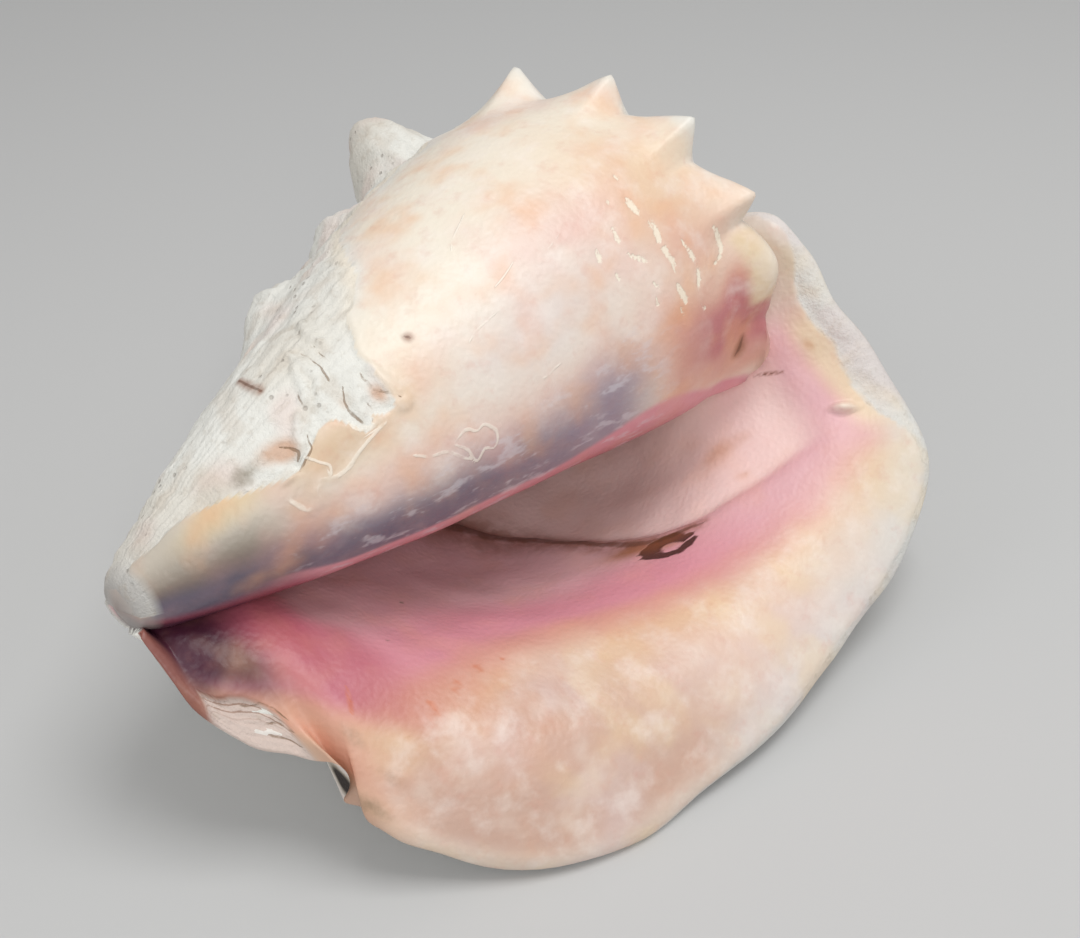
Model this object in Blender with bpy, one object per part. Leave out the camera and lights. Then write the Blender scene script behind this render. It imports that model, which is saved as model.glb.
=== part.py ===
"""Large adult conch shell, lying on its back with the aperture up and the flared lip to the front.

Units are metres. The shell is first shaped in its own growth frame: z runs along the coiling axis from
the siphonal tip to the apex, x points to the flared lip and y to the back. Angles round the axis are
called turns and are counted in degrees back from the lip, as the shell grew. The finished body is then
turned into the attitude in which it lies on a table, with its lowest spots on z = 0.
"""

import math

import bmesh
import bpy
import numpy as np
from mathutils import Matrix, Vector

# Overall growth
SHELL_LENGTH = 0.226        # siphonal tip to apex
WHORL_GROWTH = 1.50         # size of one whorl over the size of the whorl before it
SIZE_TURN = 180.0           # turn at which the profile below is measured
SPIRAL_SHARES = (0.35, 0.95)    # where the spiral growth dies out towards the siphonal tip
CANAL_GROWTH = 0.5          # part of the growth that the radius keeps there
LIP_ROOT = 60.0             # turn at which the flared lip leaves the round of the body

# Shell thickness
WALL = 0.0045               # wall of the body whorl
LIP_THICK = 0.0085          # thickened band along the inside of the lip
BAND_EDGES = (0.0, 0.030, 0.048, 0.084)    # distances from the rim at which that band starts and ends
RIM_ROUND = 0.006           # distance over which the rim is rounded
EDGE_THIN = 0.12            # thickness left at the very rim, over the full thickness
CANAL_THIN = 0.6            # how much thinner the wall is at the siphonal tip
CANAL_THIN_SHARES = (0.85, 1.0)

# Canal at the siphonal end
CANAL_LENGTH = 0.060        # part of the axis that bends to the back
CANAL_BEND = 0.012
CANAL_SWING = 0.002

# Attitude on the table
LIP_ROLL = 28.5             # degrees that the lip side drops below level
REST_WEAR = 0.0011          # depth of the worn flats on the spots that it lies on

# Body whorl profile at SIZE_TURN: (share of the way from suture to siphonal tip, radius, height)
BODY_PROFILE = (
    (0.00, 0.0315, 0.1800),
    (0.07, 0.0385, 0.1765),
    (0.14, 0.0475, 0.1700),
    (0.19, 0.0540, 0.1620),
    (0.27, 0.0560, 0.1460),
    (0.42, 0.0525, 0.1170),
    (0.58, 0.0430, 0.0850),
    (0.74, 0.0312, 0.0520),
    (0.84, 0.0232, 0.0315),
    (0.90, 0.0172, 0.0190),
    (0.95, 0.0125, 0.0090),
    (0.98, 0.0095, 0.0035),
    (1.00, 0.0065, 0.0005),
)

# How much slimmer the pillar inside the aperture is than the body: (share, part of the radius)
PILLAR_SLIM = (
    (0.00, 0.00),
    (0.14, 0.00),
    (0.26, 0.34),
    (0.45, 0.36),
    (0.60, 0.25),
    (0.72, 0.10),
    (0.90, 0.22),
    (1.00, 0.15),
)
PILLAR_TURNS = (345.0, 440.0)    # over which it slims

# Rim of the flared lip: (share from suture to siphonal tip, x, y, z, heading of the surface in degrees)
LIP_RIM = (
    (0.00, 0.013, -0.026, 0.190, -150.0),
    (0.04, 0.024, -0.038, 0.191, -110.0),
    (0.08, 0.038, -0.036, 0.193, -70.0),
    (0.12, 0.051, -0.031, 0.195, -45.0),
    (0.18, 0.069, -0.024, 0.198, -25.0),
    (0.24, 0.086, -0.018, 0.198, -10.0),
    (0.30, 0.099, -0.014, 0.191, 0.0),
    (0.38, 0.112, -0.004, 0.169, 8.0),
    (0.46, 0.116, 0.004, 0.142, 12.0),
    (0.56, 0.119, 0.010, 0.104, 16.0),
    (0.64, 0.1165, 0.015, 0.079, 20.0),
    (0.70, 0.1135, 0.018, 0.0595, 22.0),
    (0.77, 0.102, 0.023, 0.038, 24.0),
    (0.82, 0.086, 0.025, 0.0245, 24.0),
    (0.845, 0.0765, 0.025, 0.0185, 24.0),
    (0.862, 0.0715, 0.0245, 0.0172, 24.0),
    (0.876, 0.0675, 0.024, 0.0172, 24.0),
    (0.900, 0.0590, 0.022, 0.0155, 20.0),
    (0.922, 0.0530, 0.020, 0.0135, 15.0),
    (0.950, 0.0420, 0.018, 0.0115, 10.0),
    (0.965, 0.0330, 0.019, 0.0065, 10.0),
    (0.980, 0.0205, 0.016, 0.0010, 10.0),
    (0.990, 0.0120, 0.013, -0.0010, 5.0),
    (1.00, 0.0060, 0.011, -0.0010, 0.0),
)

# Folds at the rim beside the notch: (share, depth towards the back, width)
LIP_FOLDS = ((0.922, -0.008, 0.012), (0.897, 0.005, 0.011))
FOLD_FADE = 5
NOTCH_SHARE = 0.925         # where the rim is thinnest, between the folds
NOTCH_WIDTH = 0.035
NOTCH_THIN = 0.75
NOTCH_REACH = (0.4, 0.8)    # part of the way to the rim over which it thins
LIP_LEAVE = 1.0             # stiffness of the flare at its root
LIP_ARRIVE = 0.9            # and at the rim

# Shoulder spines of the last whorl: (turn, height, half width in degrees)
SPINES = (
    (64.0, 0.0096, 16.0),
    (92.0, 0.0238, 17.0),
    (126.0, 0.020, 18.0),
    (211.0, 0.0115, 15.0),
    (240.5, 0.009, 12.0),
    (265.5, 0.010, 12.0),
    (290.5, 0.010, 12.0),
    (318.0, 0.006, 12.0),
)
SPINE_SHARE = 0.19
SPINE_STEEP = 0.40          # width of a spine's older side over its younger side
SPINE_FRONT = 0.11          # reach of a spine's fold towards the siphonal end, in share
SPINE_BACK = 0.06           # reach towards the suture
SPINE_LEAN = 0.30           # lean of the tips towards the apex
SPINE_POINT = 1.25          # above 1 the tips are drawn out

# Rounded knobs: (turn, height, half width in degrees, share, reach in share)
KNOBS = (
    (170.0, 0.030, 18.0, 0.272, 0.10),
    (78.0, 0.0153, 18.0, 0.42, 0.09),
    (110.0, 0.010, 19.0, 0.42, 0.09),
    (142.0, 0.010, 20.0, 0.43, 0.09),
    (174.0, 0.006, 17.0, 0.46, 0.07),
    (174.0, 0.008, 18.0, 0.63, 0.08),
    (130.0, 0.007, 20.0, 0.58, 0.09),
    (342.0, 0.006, 22.0, 0.19, 0.09),
)

# Spiral ridges on the back of the body whorl: (share, height)
RIDGES = ((0.31, 0.0020), (0.39, 0.0016), (0.47, 0.0013), (0.55, 0.0010))
RIDGE_WIDTH = 0.018
RIDGE_WAVE = 18.0           # degrees between the lumps along a ridge
RIDGE_LUMP = 0.35           # part of a ridge's height that the lumps take
RIDGE_TURNS = (40.0, 75.0, 175.0, 215.0)    # where the ridges rise and fade

# Spire
SHOULDER_DEPTH = 0.064      # below the apex, at SIZE_TURN
SPIRE_PROFILE = ((0.0, 0.844), (0.08, 0.80), (0.22, 0.725), (0.5, 0.745), (0.8, 0.81), (1.0, 0.844))
SPIRE_KNOB = 0.060          # height of the spire's knobs over their distance from the apex
SPIRE_KNOB_REACH = 0.13
KNOBS_PER_WHORL = 14

# Hollow of the body whorl, as turns
HOLLOW_END = 131.0          # where the hollow stops inside
WALL_END = 152.0            # where the outer wall ends, inside the solid core
WALL_SINK = 0.0015          # how far the wall's end is sunk under the core's surface
PILLAR_START = 330.0

# Mesh density
BACK_STEP = 6.0             # degrees between columns on the back
BACK_END = 210.0            # turn at which those columns stop
SPINE_STOPS = (-1.0, -0.55, -0.2, 0.0, 0.15, 0.4)    # further columns on a spine, in half widths
LEAST_STEP = 2.6            # degrees between columns
CORE_RINGS = 37
CORE_SPREAD = ((0.0, 0.003), (0.60, 0.090), (1.0, 0.2255))    # (part of the rings, depth below the apex)
CORE_CLOSE = 3.0            # degrees between the core's last column and its first
PILLAR_STEPS = 14
SHARE_SAMPLES = 400
LIP_RINGS = 46
LIP_SPREAD = (              # (part of the rings, share), closer at the shoulder and at the notch
    (0.00, 0.000),
    (0.08, 0.070),
    (0.32, 0.270),
    (0.56, 0.800),
    (0.63, 0.865),
    (0.93, 0.965),
    (1.00, 1.000),
)
LIP_STEPS = 12
LIP_STEP_GROWTH = 1.7       # above 1 the steps are closer at the rim
GROUND_SIZE = 0.5           # side of the block that cuts the worn flats

# Look
SHELL_COLOUR = (0.80, 0.62, 0.50, 1.0)
SHELL_ROUGHNESS = 0.45


def smooth_curve(keys, at):
    """A smooth curve through keys of (place, value, ...), read at the places given."""
    table = np.array(keys, float)
    place, value = table[:, 0], table[:, 1:]
    at = np.clip(np.asarray(at, float), place[0], place[-1])
    left = np.clip(np.searchsorted(place, at, side="right") - 1, 0, len(place) - 2)
    slope = np.gradient(value, place, axis=0)
    width = (place[left + 1] - place[left])[..., None]
    u = (at[..., None] - place[left][..., None]) / width
    return (
        value[left] * (1 + 2 * u) * (1 - u) ** 2
        + value[left + 1] * u * u * (3 - 2 * u)
        + slope[left] * width * u * (1 - u) ** 2
        - slope[left + 1] * width * u * u * (1 - u)
    )


def ease(low, high, at):
    """0 below low, 1 above high, and a smooth step between."""
    u = np.clip((np.asarray(at, float) - low) / (high - low), 0, 1)
    return u * u * (3 - 2 * u)


def unit(vectors):
    """The same directions with length one."""
    return vectors / (np.linalg.norm(vectors, axis=-1, keepdims=True) + 1e-12)


def growth_at(turn):
    """Size of the whorl at a turn, over its size at SIZE_TURN."""
    return WHORL_GROWTH ** (-(turn - SIZE_TURN) / 360)


def body_point(turn, share):
    """Outer surface of the last whorl without its ornament."""
    turn, share = np.broadcast_arrays(np.asarray(turn, float), np.asarray(share, float))
    profile = smooth_curve(BODY_PROFILE, share)
    radius, height = profile[..., 0], profile[..., 1]
    growth = growth_at(turn)
    spiral = 1 - ease(*SPIRAL_SHARES, share)
    radius = radius * growth ** (CANAL_GROWTH + (1 - CANAL_GROWTH) * spiral)
    height = SHELL_LENGTH - (SHELL_LENGTH - height) * growth ** spiral
    radius = radius * (1 - smooth_curve(PILLAR_SLIM, share)[..., 0] * ease(*PILLAR_TURNS, turn))
    angle = np.radians(turn)
    bend = np.maximum((CANAL_LENGTH - height) / CANAL_LENGTH, 0) ** 2
    x = radius * np.cos(angle) - CANAL_SWING * bend
    y = radius * np.sin(angle) + CANAL_BEND * bend
    return np.stack([x, y, height], -1)


def ornament(turn, share):
    """Spines and ridges that stand out from the last whorl."""
    turn, share = np.broadcast_arrays(np.asarray(turn, float), np.asarray(share, float))
    height = np.zeros(turn.shape)
    below = share - SPINE_SHARE
    along = np.where(below > 0, below / SPINE_FRONT, -below / SPINE_BACK)
    for place, size, width in SPINES:
        across = np.where(turn < place, place - turn, (turn - place) / SPINE_STEEP) / width
        near = np.clip(1 - np.sqrt(across ** 2 + along ** 2), 0, 1)
        height = np.maximum(height, size * near ** SPINE_POINT)
    for place, size, width, tip, reach in KNOBS:
        away = ((turn - place) / width) ** 2 + ((share - tip) / reach) ** 2
        height = np.maximum(height, size * ease(0, 1, 1 - np.sqrt(away)))
    back = ease(*RIDGE_TURNS[:2], turn) * (1 - ease(*RIDGE_TURNS[2:], turn))
    ridge = np.zeros(turn.shape)
    for place, size in RIDGES:
        lump = 1 - RIDGE_LUMP + RIDGE_LUMP * np.cos(np.radians(turn * 360 / RIDGE_WAVE))
        ridge = ridge + size * lump * np.exp(-(((share - place) / RIDGE_WIDTH) ** 2))
    angle = np.radians(turn)
    outward = np.stack([np.cos(angle), np.sin(angle), np.full(turn.shape, SPINE_LEAN)], -1)
    return unit(outward) * (height + ridge * back)[..., None]


def lip_surface(share, toward_rim):
    """Back of the flared lip, from its root (0) to the rim (1)."""
    start = body_point(LIP_ROOT, share)
    leave = unit(body_point(LIP_ROOT - 1, share) - start)
    rim = smooth_curve(LIP_RIM, share)
    heading = np.radians(rim[..., 3])
    rim = rim[..., :3]
    reach = np.linalg.norm(rim - start, axis=-1, keepdims=True)
    chord = (rim - start) / reach
    arrive = unit(np.stack([np.cos(heading), np.sin(heading), chord[..., 2]], -1))
    u = toward_rim[..., None]
    surface = (
        start * (1 + 2 * u) * (1 - u) ** 2
        + rim * u * u * (3 - 2 * u)
        + leave * reach * LIP_LEAVE * u * (1 - u) ** 2
        - arrive * reach * LIP_ARRIVE * u * u * (1 - u)
    )
    return surface, reach[..., 0]


def turns_between(first, last):
    """Turns of the mesh columns from first up to last: even steps on the back, and each spine's flanks."""
    stops = list(np.arange(LIP_ROOT, BACK_END, BACK_STEP))
    for place, _, width in SPINES:
        stops += [place + width * step for step in SPINE_STOPS]
    kept = [first]
    for stop in sorted(stops):
        if kept[-1] + LEAST_STEP < stop < last - LEAST_STEP:
            kept.append(stop)
    return kept


def spire_radius(turn, depth):
    """Radius of the whorls above the last one, at a depth below the apex."""
    part = np.log(depth / (SHOULDER_DEPTH * growth_at(turn))) / math.log(WHORL_GROWTH) % 1.0
    ratio = smooth_curve(SPIRE_PROFILE, part)[..., 0]
    at_shoulder = np.exp(-((np.minimum(part, 1 - part) / SPIRE_KNOB_REACH) ** 2))
    knob = np.clip(np.cos(np.radians(turn * KNOBS_PER_WHORL)), 0, 1) ** 2 * at_shoulder
    return depth * (ratio + SPIRE_KNOB * knob)


def core_grid():
    """Rings round the axis, from the apex to the siphonal tip: spire, body whorl and the pillar."""
    pillar = np.linspace(PILLAR_START, HOLLOW_END + 360 - CORE_CLOSE, PILLAR_STEPS)
    turns = np.concatenate([turns_between(HOLLOW_END, PILLAR_START), pillar])
    depths = np.interp(np.linspace(0, 1, CORE_RINGS), *np.array(CORE_SPREAD).T)
    fine_share = np.linspace(0, 1, SHARE_SAMPLES)
    columns = []
    for turn in turns:
        reach = SHELL_LENGTH - body_point(turn, fine_share)[:, 2]
        share = np.interp(depths, reach, fine_share)
        outer = body_point(turn, share) + ornament(turn, share)
        radius = spire_radius(np.full(depths.shape, turn), depths)
        bearing = math.radians(turn)
        above = np.stack([radius * math.cos(bearing), radius * math.sin(bearing), SHELL_LENGTH - depths], -1)
        columns.append(np.where((depths < reach[0])[:, None], above, outer))
    return np.stack(columns, 1)


def wall_faces(share, toward_rim, turns):
    """The outer wall's two faces, its back and its inner side, from the rim to inside the core."""
    lip, reach = lip_surface(share, toward_rim)
    smooth = body_point(turns, share)
    steps = toward_rim.shape[1]
    facing = np.concatenate([lip, smooth], 1)
    normal = unit(np.cross(np.gradient(facing, axis=0), -np.gradient(facing, axis=1)))
    rim_gap = np.concatenate([(1 - toward_rim) * reach, np.ones(smooth.shape[:2])], 1)
    rounding = np.sqrt(1 - np.clip(1 - rim_gap / RIM_ROUND, 0, 1) ** 2)
    band = ease(*BAND_EDGES[:2], rim_gap) * (1 - ease(*BAND_EDGES[2:], rim_gap))
    thick = (WALL + (LIP_THICK - WALL) * band) * np.maximum(rounding, EDGE_THIN)
    at_notch = np.exp(-(((share - NOTCH_SHARE) / NOTCH_WIDTH) ** 2)) * ease(*NOTCH_REACH, toward_rim)
    thick[:, :steps] *= 1 - NOTCH_THIN * at_notch
    facing_out = np.array([0.0, -1.0, 0.0])
    normal[:, :steps] = unit(normal[:, :steps] * (1 - at_notch[..., None]) + facing_out * at_notch[..., None])
    thick = thick * (1 - CANAL_THIN * ease(*CANAL_THIN_SHARES, share))
    for place, size, width in LIP_FOLDS:
        fold = size * np.exp(-(((share - place) / width) ** 2)) * toward_rim ** FOLD_FADE
        facing[:, :steps, 1] += fold
    sink = WALL_SINK * ease(HOLLOW_END, WALL_END, turns)
    back = facing.copy()
    back[:, steps:] += ornament(turns, share) + normal[:, steps:] * sink[..., None]
    return back, facing + normal * thick[..., None]


def lip_grid():
    """The outer wall's two faces at the mesh density."""
    share = np.interp(np.linspace(0, 1, LIP_RINGS), *np.array(LIP_SPREAD).T)[:, None]
    toward_rim = 1 - np.linspace(0, 1, LIP_STEPS + 1)[None, :-1] ** LIP_STEP_GROWTH
    turns = np.array([*turns_between(LIP_ROOT, WALL_END), WALL_END])[None, :]
    return wall_faces(share, toward_rim, turns)


def make_object(mesh, name):
    """Turn a finished bmesh into an object, faces outward."""
    bmesh.ops.recalc_face_normals(mesh, faces=mesh.faces)
    if mesh.calc_volume(signed=True) < 0:
        bmesh.ops.reverse_faces(mesh, faces=mesh.faces)
    data = bpy.data.meshes.new(name)
    mesh.to_mesh(data)
    mesh.free()
    body = bpy.data.objects.new(name, data)
    bpy.context.scene.collection.objects.link(body)
    return body


def loft(name, rings):
    """A closed body: the first ring is extruded from place to place, and both ends are filled."""
    mesh = bmesh.new()
    count = rings.shape[1]
    made = bmesh.ops.create_circle(mesh, segments=count, radius=1)
    verts = sorted(made["verts"], key=lambda v: math.atan2(v.co.y, v.co.x) % math.tau)
    edges = [mesh.edges.get((verts[i], verts[(i + 1) % count])) for i in range(count)]
    first_edges = edges
    for ring_number, ring in enumerate(rings):
        if ring_number:
            grown = bmesh.ops.extrude_edge_only(mesh, edges=edges)["geom"]
            new_verts = {v for v in grown if isinstance(v, bmesh.types.BMVert)}
            above = {}
            for old in verts:
                for edge in old.link_edges:
                    if edge.other_vert(old) in new_verts:
                        above[old] = edge.other_vert(old)
            verts = [above[v] for v in verts]
            edges = [mesh.edges.get((verts[i], verts[(i + 1) % count])) for i in range(count)]
        for vert, place in zip(verts, ring):
            vert.co = Vector(place)
    for end_edges, ring in ((first_edges, rings[0]), (edges, rings[-1])):
        cap = bmesh.ops.extrude_edge_only(mesh, edges=end_edges)["geom"]
        cap_verts = [v for v in cap if isinstance(v, bmesh.types.BMVert)]
        bmesh.ops.pointmerge(mesh, verts=cap_verts, merge_co=Vector(ring.mean(0)))
    return make_object(mesh, name)


def wall(name, back, face):
    """A closed wall between two faces that are sampled alike."""
    rows, columns = back.shape[:2]
    mesh = bmesh.new()
    number = mesh.verts.layers.int.new("number")
    made = bmesh.ops.create_grid(mesh, x_segments=columns - 1, y_segments=rows - 1, size=0.5)
    for vert in made["verts"]:
        column = round((vert.co.x + 0.5) * (columns - 1))
        row = round((vert.co.y + 0.5) * (rows - 1))
        vert[number] = row * columns + column
        vert.co = Vector(back[row, column])
    grown = bmesh.ops.extrude_face_region(mesh, geom=mesh.faces[:], use_keep_orig=True)["geom"]
    for vert in grown:
        if isinstance(vert, bmesh.types.BMVert):
            vert.co = Vector(face[divmod(vert[number], columns)])
    return make_object(mesh, name)


def ground_block():
    """A block whose top is at z = 0, which cuts the worn flats."""
    mesh = bmesh.new()
    bmesh.ops.create_cube(mesh, size=GROUND_SIZE)
    bmesh.ops.translate(mesh, verts=mesh.verts, vec=(0, 0, -GROUND_SIZE / 2))
    return make_object(mesh, "ground_cut")


def lying_attitude():
    """Turn from the growth frame to the table: apex to +X, aperture up, lip to -Y and downwards."""
    roll = math.radians(LIP_ROLL)
    return Matrix((
        (0, 0, 1),
        (-math.cos(roll), math.sin(roll), 0),
        (-math.sin(roll), -math.cos(roll), 0),
    )).to_4x4()


def shell_material():
    """Pale peach and cream, with a dull gloss."""
    material = bpy.data.materials.new("shell")
    material.use_nodes = True
    shader = material.node_tree.nodes["Principled BSDF"]
    shader.inputs["Base Color"].default_value = SHELL_COLOUR
    shader.inputs["Roughness"].default_value = SHELL_ROUGHNESS
    return material


def combine(body, tool, name, operation):
    """Join a tool to a body, or cut it away, and keep the tool out of sight."""
    tool.hide_render = True
    tool.display_type = "WIRE"
    step = body.modifiers.new(name, "BOOLEAN")
    step.operation = operation
    step.solver = "EXACT"
    step.object = tool


for existing in list(bpy.data.objects):
    bpy.data.objects.remove(existing)

shell = loft("conch_shell", core_grid())
lip = wall("lip_wall", *lip_grid())
attitude = lying_attitude()
for body in (shell, lip):
    body.data.transform(attitude)
    body.data.materials.append(shell_material())
corners = np.array([v.co for v in [*shell.data.vertices, *lip.data.vertices]])
low, high = corners.min(0), corners.max(0)
seat = Matrix.Translation((-(low[0] + high[0]) / 2, -(low[1] + high[1]) / 2, -low[2] - REST_WEAR))
for body in (shell, lip):
    body.data.transform(seat)
combine(shell, lip, "lip", "UNION")
combine(shell, ground_block(), "worn flats", "DIFFERENCE")
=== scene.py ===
import math
import bmesh
import bpy
import numpy as np
from mathutils import Matrix, Vector, noise
from mathutils.kdtree import KDTree


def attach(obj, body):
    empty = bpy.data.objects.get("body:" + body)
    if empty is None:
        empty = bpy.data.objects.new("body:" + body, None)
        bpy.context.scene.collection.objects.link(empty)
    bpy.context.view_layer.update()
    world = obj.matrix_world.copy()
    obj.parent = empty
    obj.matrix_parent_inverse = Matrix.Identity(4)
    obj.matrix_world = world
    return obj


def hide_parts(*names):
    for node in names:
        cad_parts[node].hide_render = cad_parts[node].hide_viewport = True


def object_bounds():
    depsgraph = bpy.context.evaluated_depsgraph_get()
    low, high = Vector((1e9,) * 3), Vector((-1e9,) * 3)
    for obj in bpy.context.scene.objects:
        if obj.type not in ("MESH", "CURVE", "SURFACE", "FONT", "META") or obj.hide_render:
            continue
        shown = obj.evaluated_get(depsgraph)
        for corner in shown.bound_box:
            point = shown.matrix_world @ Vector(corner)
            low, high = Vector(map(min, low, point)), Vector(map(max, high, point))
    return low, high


print("conch shell: loading the frame")
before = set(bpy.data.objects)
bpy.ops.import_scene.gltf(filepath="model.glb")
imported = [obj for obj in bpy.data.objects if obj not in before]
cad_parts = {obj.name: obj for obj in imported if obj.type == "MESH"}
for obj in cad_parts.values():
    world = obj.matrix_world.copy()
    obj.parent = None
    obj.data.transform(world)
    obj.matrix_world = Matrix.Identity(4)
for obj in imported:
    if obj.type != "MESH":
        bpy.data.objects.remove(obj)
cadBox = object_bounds()

# How the shell grew, in metres and degrees. The growth frame has z along the coiling axis from the
# siphonal tip to the apex, x to the flared lip and y to the back; a turn counts back from the lip.
growth = {
    "length": 0.226,
    "whorlRatio": 1.50,
    "sizeTurn": 180.0,
    "spiralShares": (0.35, 0.95),
    "canalGrowth": 0.5,
    "lipRoot": 60.0,
    "canalLength": 0.060,
    "canalBend": 0.012,
    "canalSwing": 0.002,
    "lipRoll": 28.5,
    "restWear": 0.0011,
    "profile": (
        (0.00, 0.0315, 0.1800), (0.07, 0.0385, 0.1765), (0.14, 0.0475, 0.1700), (0.19, 0.0540, 0.1620),
        (0.27, 0.0560, 0.1460), (0.42, 0.0525, 0.1170), (0.58, 0.0430, 0.0850), (0.74, 0.0312, 0.0520),
        (0.84, 0.0232, 0.0315), (0.90, 0.0172, 0.0190), (0.95, 0.0125, 0.0090), (0.98, 0.0095, 0.0035),
        (1.00, 0.0065, 0.0005),
    ),
    "pillarSlim": ((0, 0), (0.14, 0), (0.26, 0.34), (0.45, 0.36), (0.6, 0.25), (0.72, 0.1), (0.9, 0.22), (1, 0.15)),
    "pillarTurns": (345.0, 440.0),
    "hollowEnd": 131.0,
    "wallEnd": 152.0,
    "wallSink": 0.0015,
}

# The flared lip: rim as (share from suture to tip, x, y, z, heading), then thickness and folds.
lip = {
    "rim": (
        (0.00, 0.013, -0.026, 0.190, -150.0), (0.04, 0.024, -0.038, 0.191, -110.0),
        (0.08, 0.038, -0.036, 0.193, -70.0), (0.12, 0.051, -0.031, 0.1925, -45.0),
        (0.18, 0.069, -0.024, 0.1945, -25.0), (0.24, 0.086, -0.018, 0.1952, -10.0),
        (0.30, 0.099, -0.014, 0.1895, 0.0), (0.38, 0.112, -0.004, 0.169, 8.0),
        (0.46, 0.116, 0.004, 0.142, 12.0), (0.56, 0.119, 0.010, 0.104, 16.0),
        (0.64, 0.1165, 0.015, 0.079, 20.0), (0.70, 0.1135, 0.018, 0.0595, 22.0),
        (0.77, 0.102, 0.023, 0.038, 24.0), (0.82, 0.086, 0.025, 0.0245, 24.0),
        (0.845, 0.0765, 0.025, 0.0185, 24.0), (0.862, 0.0715, 0.0245, 0.0172, 24.0),
        (0.876, 0.0675, 0.024, 0.0172, 24.0), (0.900, 0.0590, 0.022, 0.0155, 20.0),
        (0.922, 0.0530, 0.020, 0.0135, 15.0), (0.950, 0.0452, 0.0185, 0.0098, 10.0),
        (0.965, 0.0376, 0.0195, 0.0040, 10.0), (0.980, 0.0235, 0.0170, -0.0004, 10.0),
        (0.990, 0.0120, 0.013, -0.0010, 5.0), (1.00, 0.0060, 0.011, -0.0010, 0.0),
    ),
    "wall": 0.0045,
    "thick": 0.0085,
    "bandEdges": (0.0, 0.030, 0.048, 0.084),
    "rimRound": 0.006,
    "edgeThin": 0.12,
    "canalThin": 0.6,
    "canalThinShares": (0.85, 1.0),
    "folds": ((0.922, -0.008, 0.012), (0.897, 0.005, 0.011)),
    "foldFade": 5,
    "hood": (0.914, 0.012, 0.0035, 8),
    "notchShare": 0.925,
    "notchWidth": 0.035,
    "notchThin": 0.75,
    "notchReach": (0.4, 0.8),
    "leave": 1.0,
    "arrive": 0.9,
}

# What stands out from the last whorl: spines (turn, height, half width), knobs (turn, height, half width,
# share, reach) and ridges (share, height).
relief = {
    "spines": (
        (64.0, 0.0096, 16.0), (92.0, 0.0238, 17.0), (126.0, 0.020, 18.0), (211.0, 0.0118, 22.0),
        (240.5, 0.0096, 20.0), (265.5, 0.0108, 21.0), (290.5, 0.0108, 21.0), (318.0, 0.003, 12.0),
    ),
    "spineShare": 0.19,
    "steep": 0.32,
    "front": 0.115,
    "back": 0.052,
    "lean": 0.30,
    "sharp": (1.8, 1.2, 2.1, 1.1),
    "blunt": (0.10, 5),
    "knobs": (
        (170.0, 0.030, 18.0, 0.272, 0.10), (78.0, 0.0153, 18.0, 0.42, 0.09), (110.0, 0.010, 19.0, 0.42, 0.09),
        (142.0, 0.010, 20.0, 0.43, 0.09), (174.0, 0.006, 17.0, 0.46, 0.07), (174.0, 0.008, 18.0, 0.63, 0.08),
        (130.0, 0.007, 20.0, 0.58, 0.09), (342.0, 0.006, 22.0, 0.19, 0.09),
        (311.0, 0.0078, 24.0, 0.188, 0.08),
    ),
    "ridges": ((0.31, 0.0020), (0.39, 0.0016), (0.47, 0.0013), (0.55, 0.0010)),
    "ridgeWidth": 0.018,
    "ridgeWave": 18.0,
    "ridgeLump": 0.35,
    "ridgeTurns": (40.0, 75.0, 175.0, 215.0),
    "spireDepth": 0.064,
    "spireProfile": ((0, 0.844), (0.08, 0.80), (0.22, 0.725), (0.5, 0.745), (0.8, 0.81), (1, 0.844)),
    "spireKnob": 0.060,
    "spireKnobReach": 0.13,
    "knobsPerWhorl": 14,
}

# Mesh density of the fine surface: rings down the axis as (ring, depth), columns as (turn, column)
density = {
    "coreRings": ((0, 0.0025), (22, 0.030), (120, 0.118), (140, 0.148), (196, 0.192), (214, 0.2256)),
    "coreStops": ((131, 0), (180, 34), (345, 190), (400, 228), (485, 258)),
    "lipRings": 196,
    "lipSpread": ((0, 0), (0.10, 0.08), (0.36, 0.27), (0.62, 0.80), (0.70, 0.865), (0.93, 0.975), (1, 1)),
    "lipSteps": 64,
    "lipStepGrowth": 1.35,
    "wallSteps": 26,
}


def smoothCurve(keys, at):
    table = np.array(keys, float)
    place, value = table[:, 0], table[:, 1:]
    at = np.clip(np.asarray(at, float), place[0], place[-1])
    left = np.clip(np.searchsorted(place, at, side="right") - 1, 0, len(place) - 2)
    slope = np.gradient(value, place, axis=0)
    width = (place[left + 1] - place[left])[..., None]
    u = (at[..., None] - place[left][..., None]) / width
    return (
        value[left] * (1 + 2 * u) * (1 - u) ** 2
        + value[left + 1] * u * u * (3 - 2 * u)
        + slope[left] * width * u * (1 - u) ** 2
        - slope[left + 1] * width * u * u * (1 - u)
    )


def ease(low, high, at):
    u = np.clip((np.asarray(at, float) - low) / (high - low), 0, 1)
    return u * u * (3 - 2 * u)


def unit(vectors):
    return vectors / (np.linalg.norm(vectors, axis=-1, keepdims=True) + 1e-12)


def bell(at, centre, width):
    return np.exp(-(((at - centre) / width) ** 2))


def grain(points, size, seed):
    # smooth noise from -1 to 1 at each point, with lumps of the given size
    shift = Vector((seed * 3.7, seed * 1.9, seed * 5.3))
    flat = points.reshape(-1, 3) / size
    return np.array([noise.noise(Vector(p) + shift) for p in flat]).reshape(points.shape[:-1])


def growthAt(turn):
    return growth["whorlRatio"] ** (-(turn - growth["sizeTurn"]) / 360)


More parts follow.
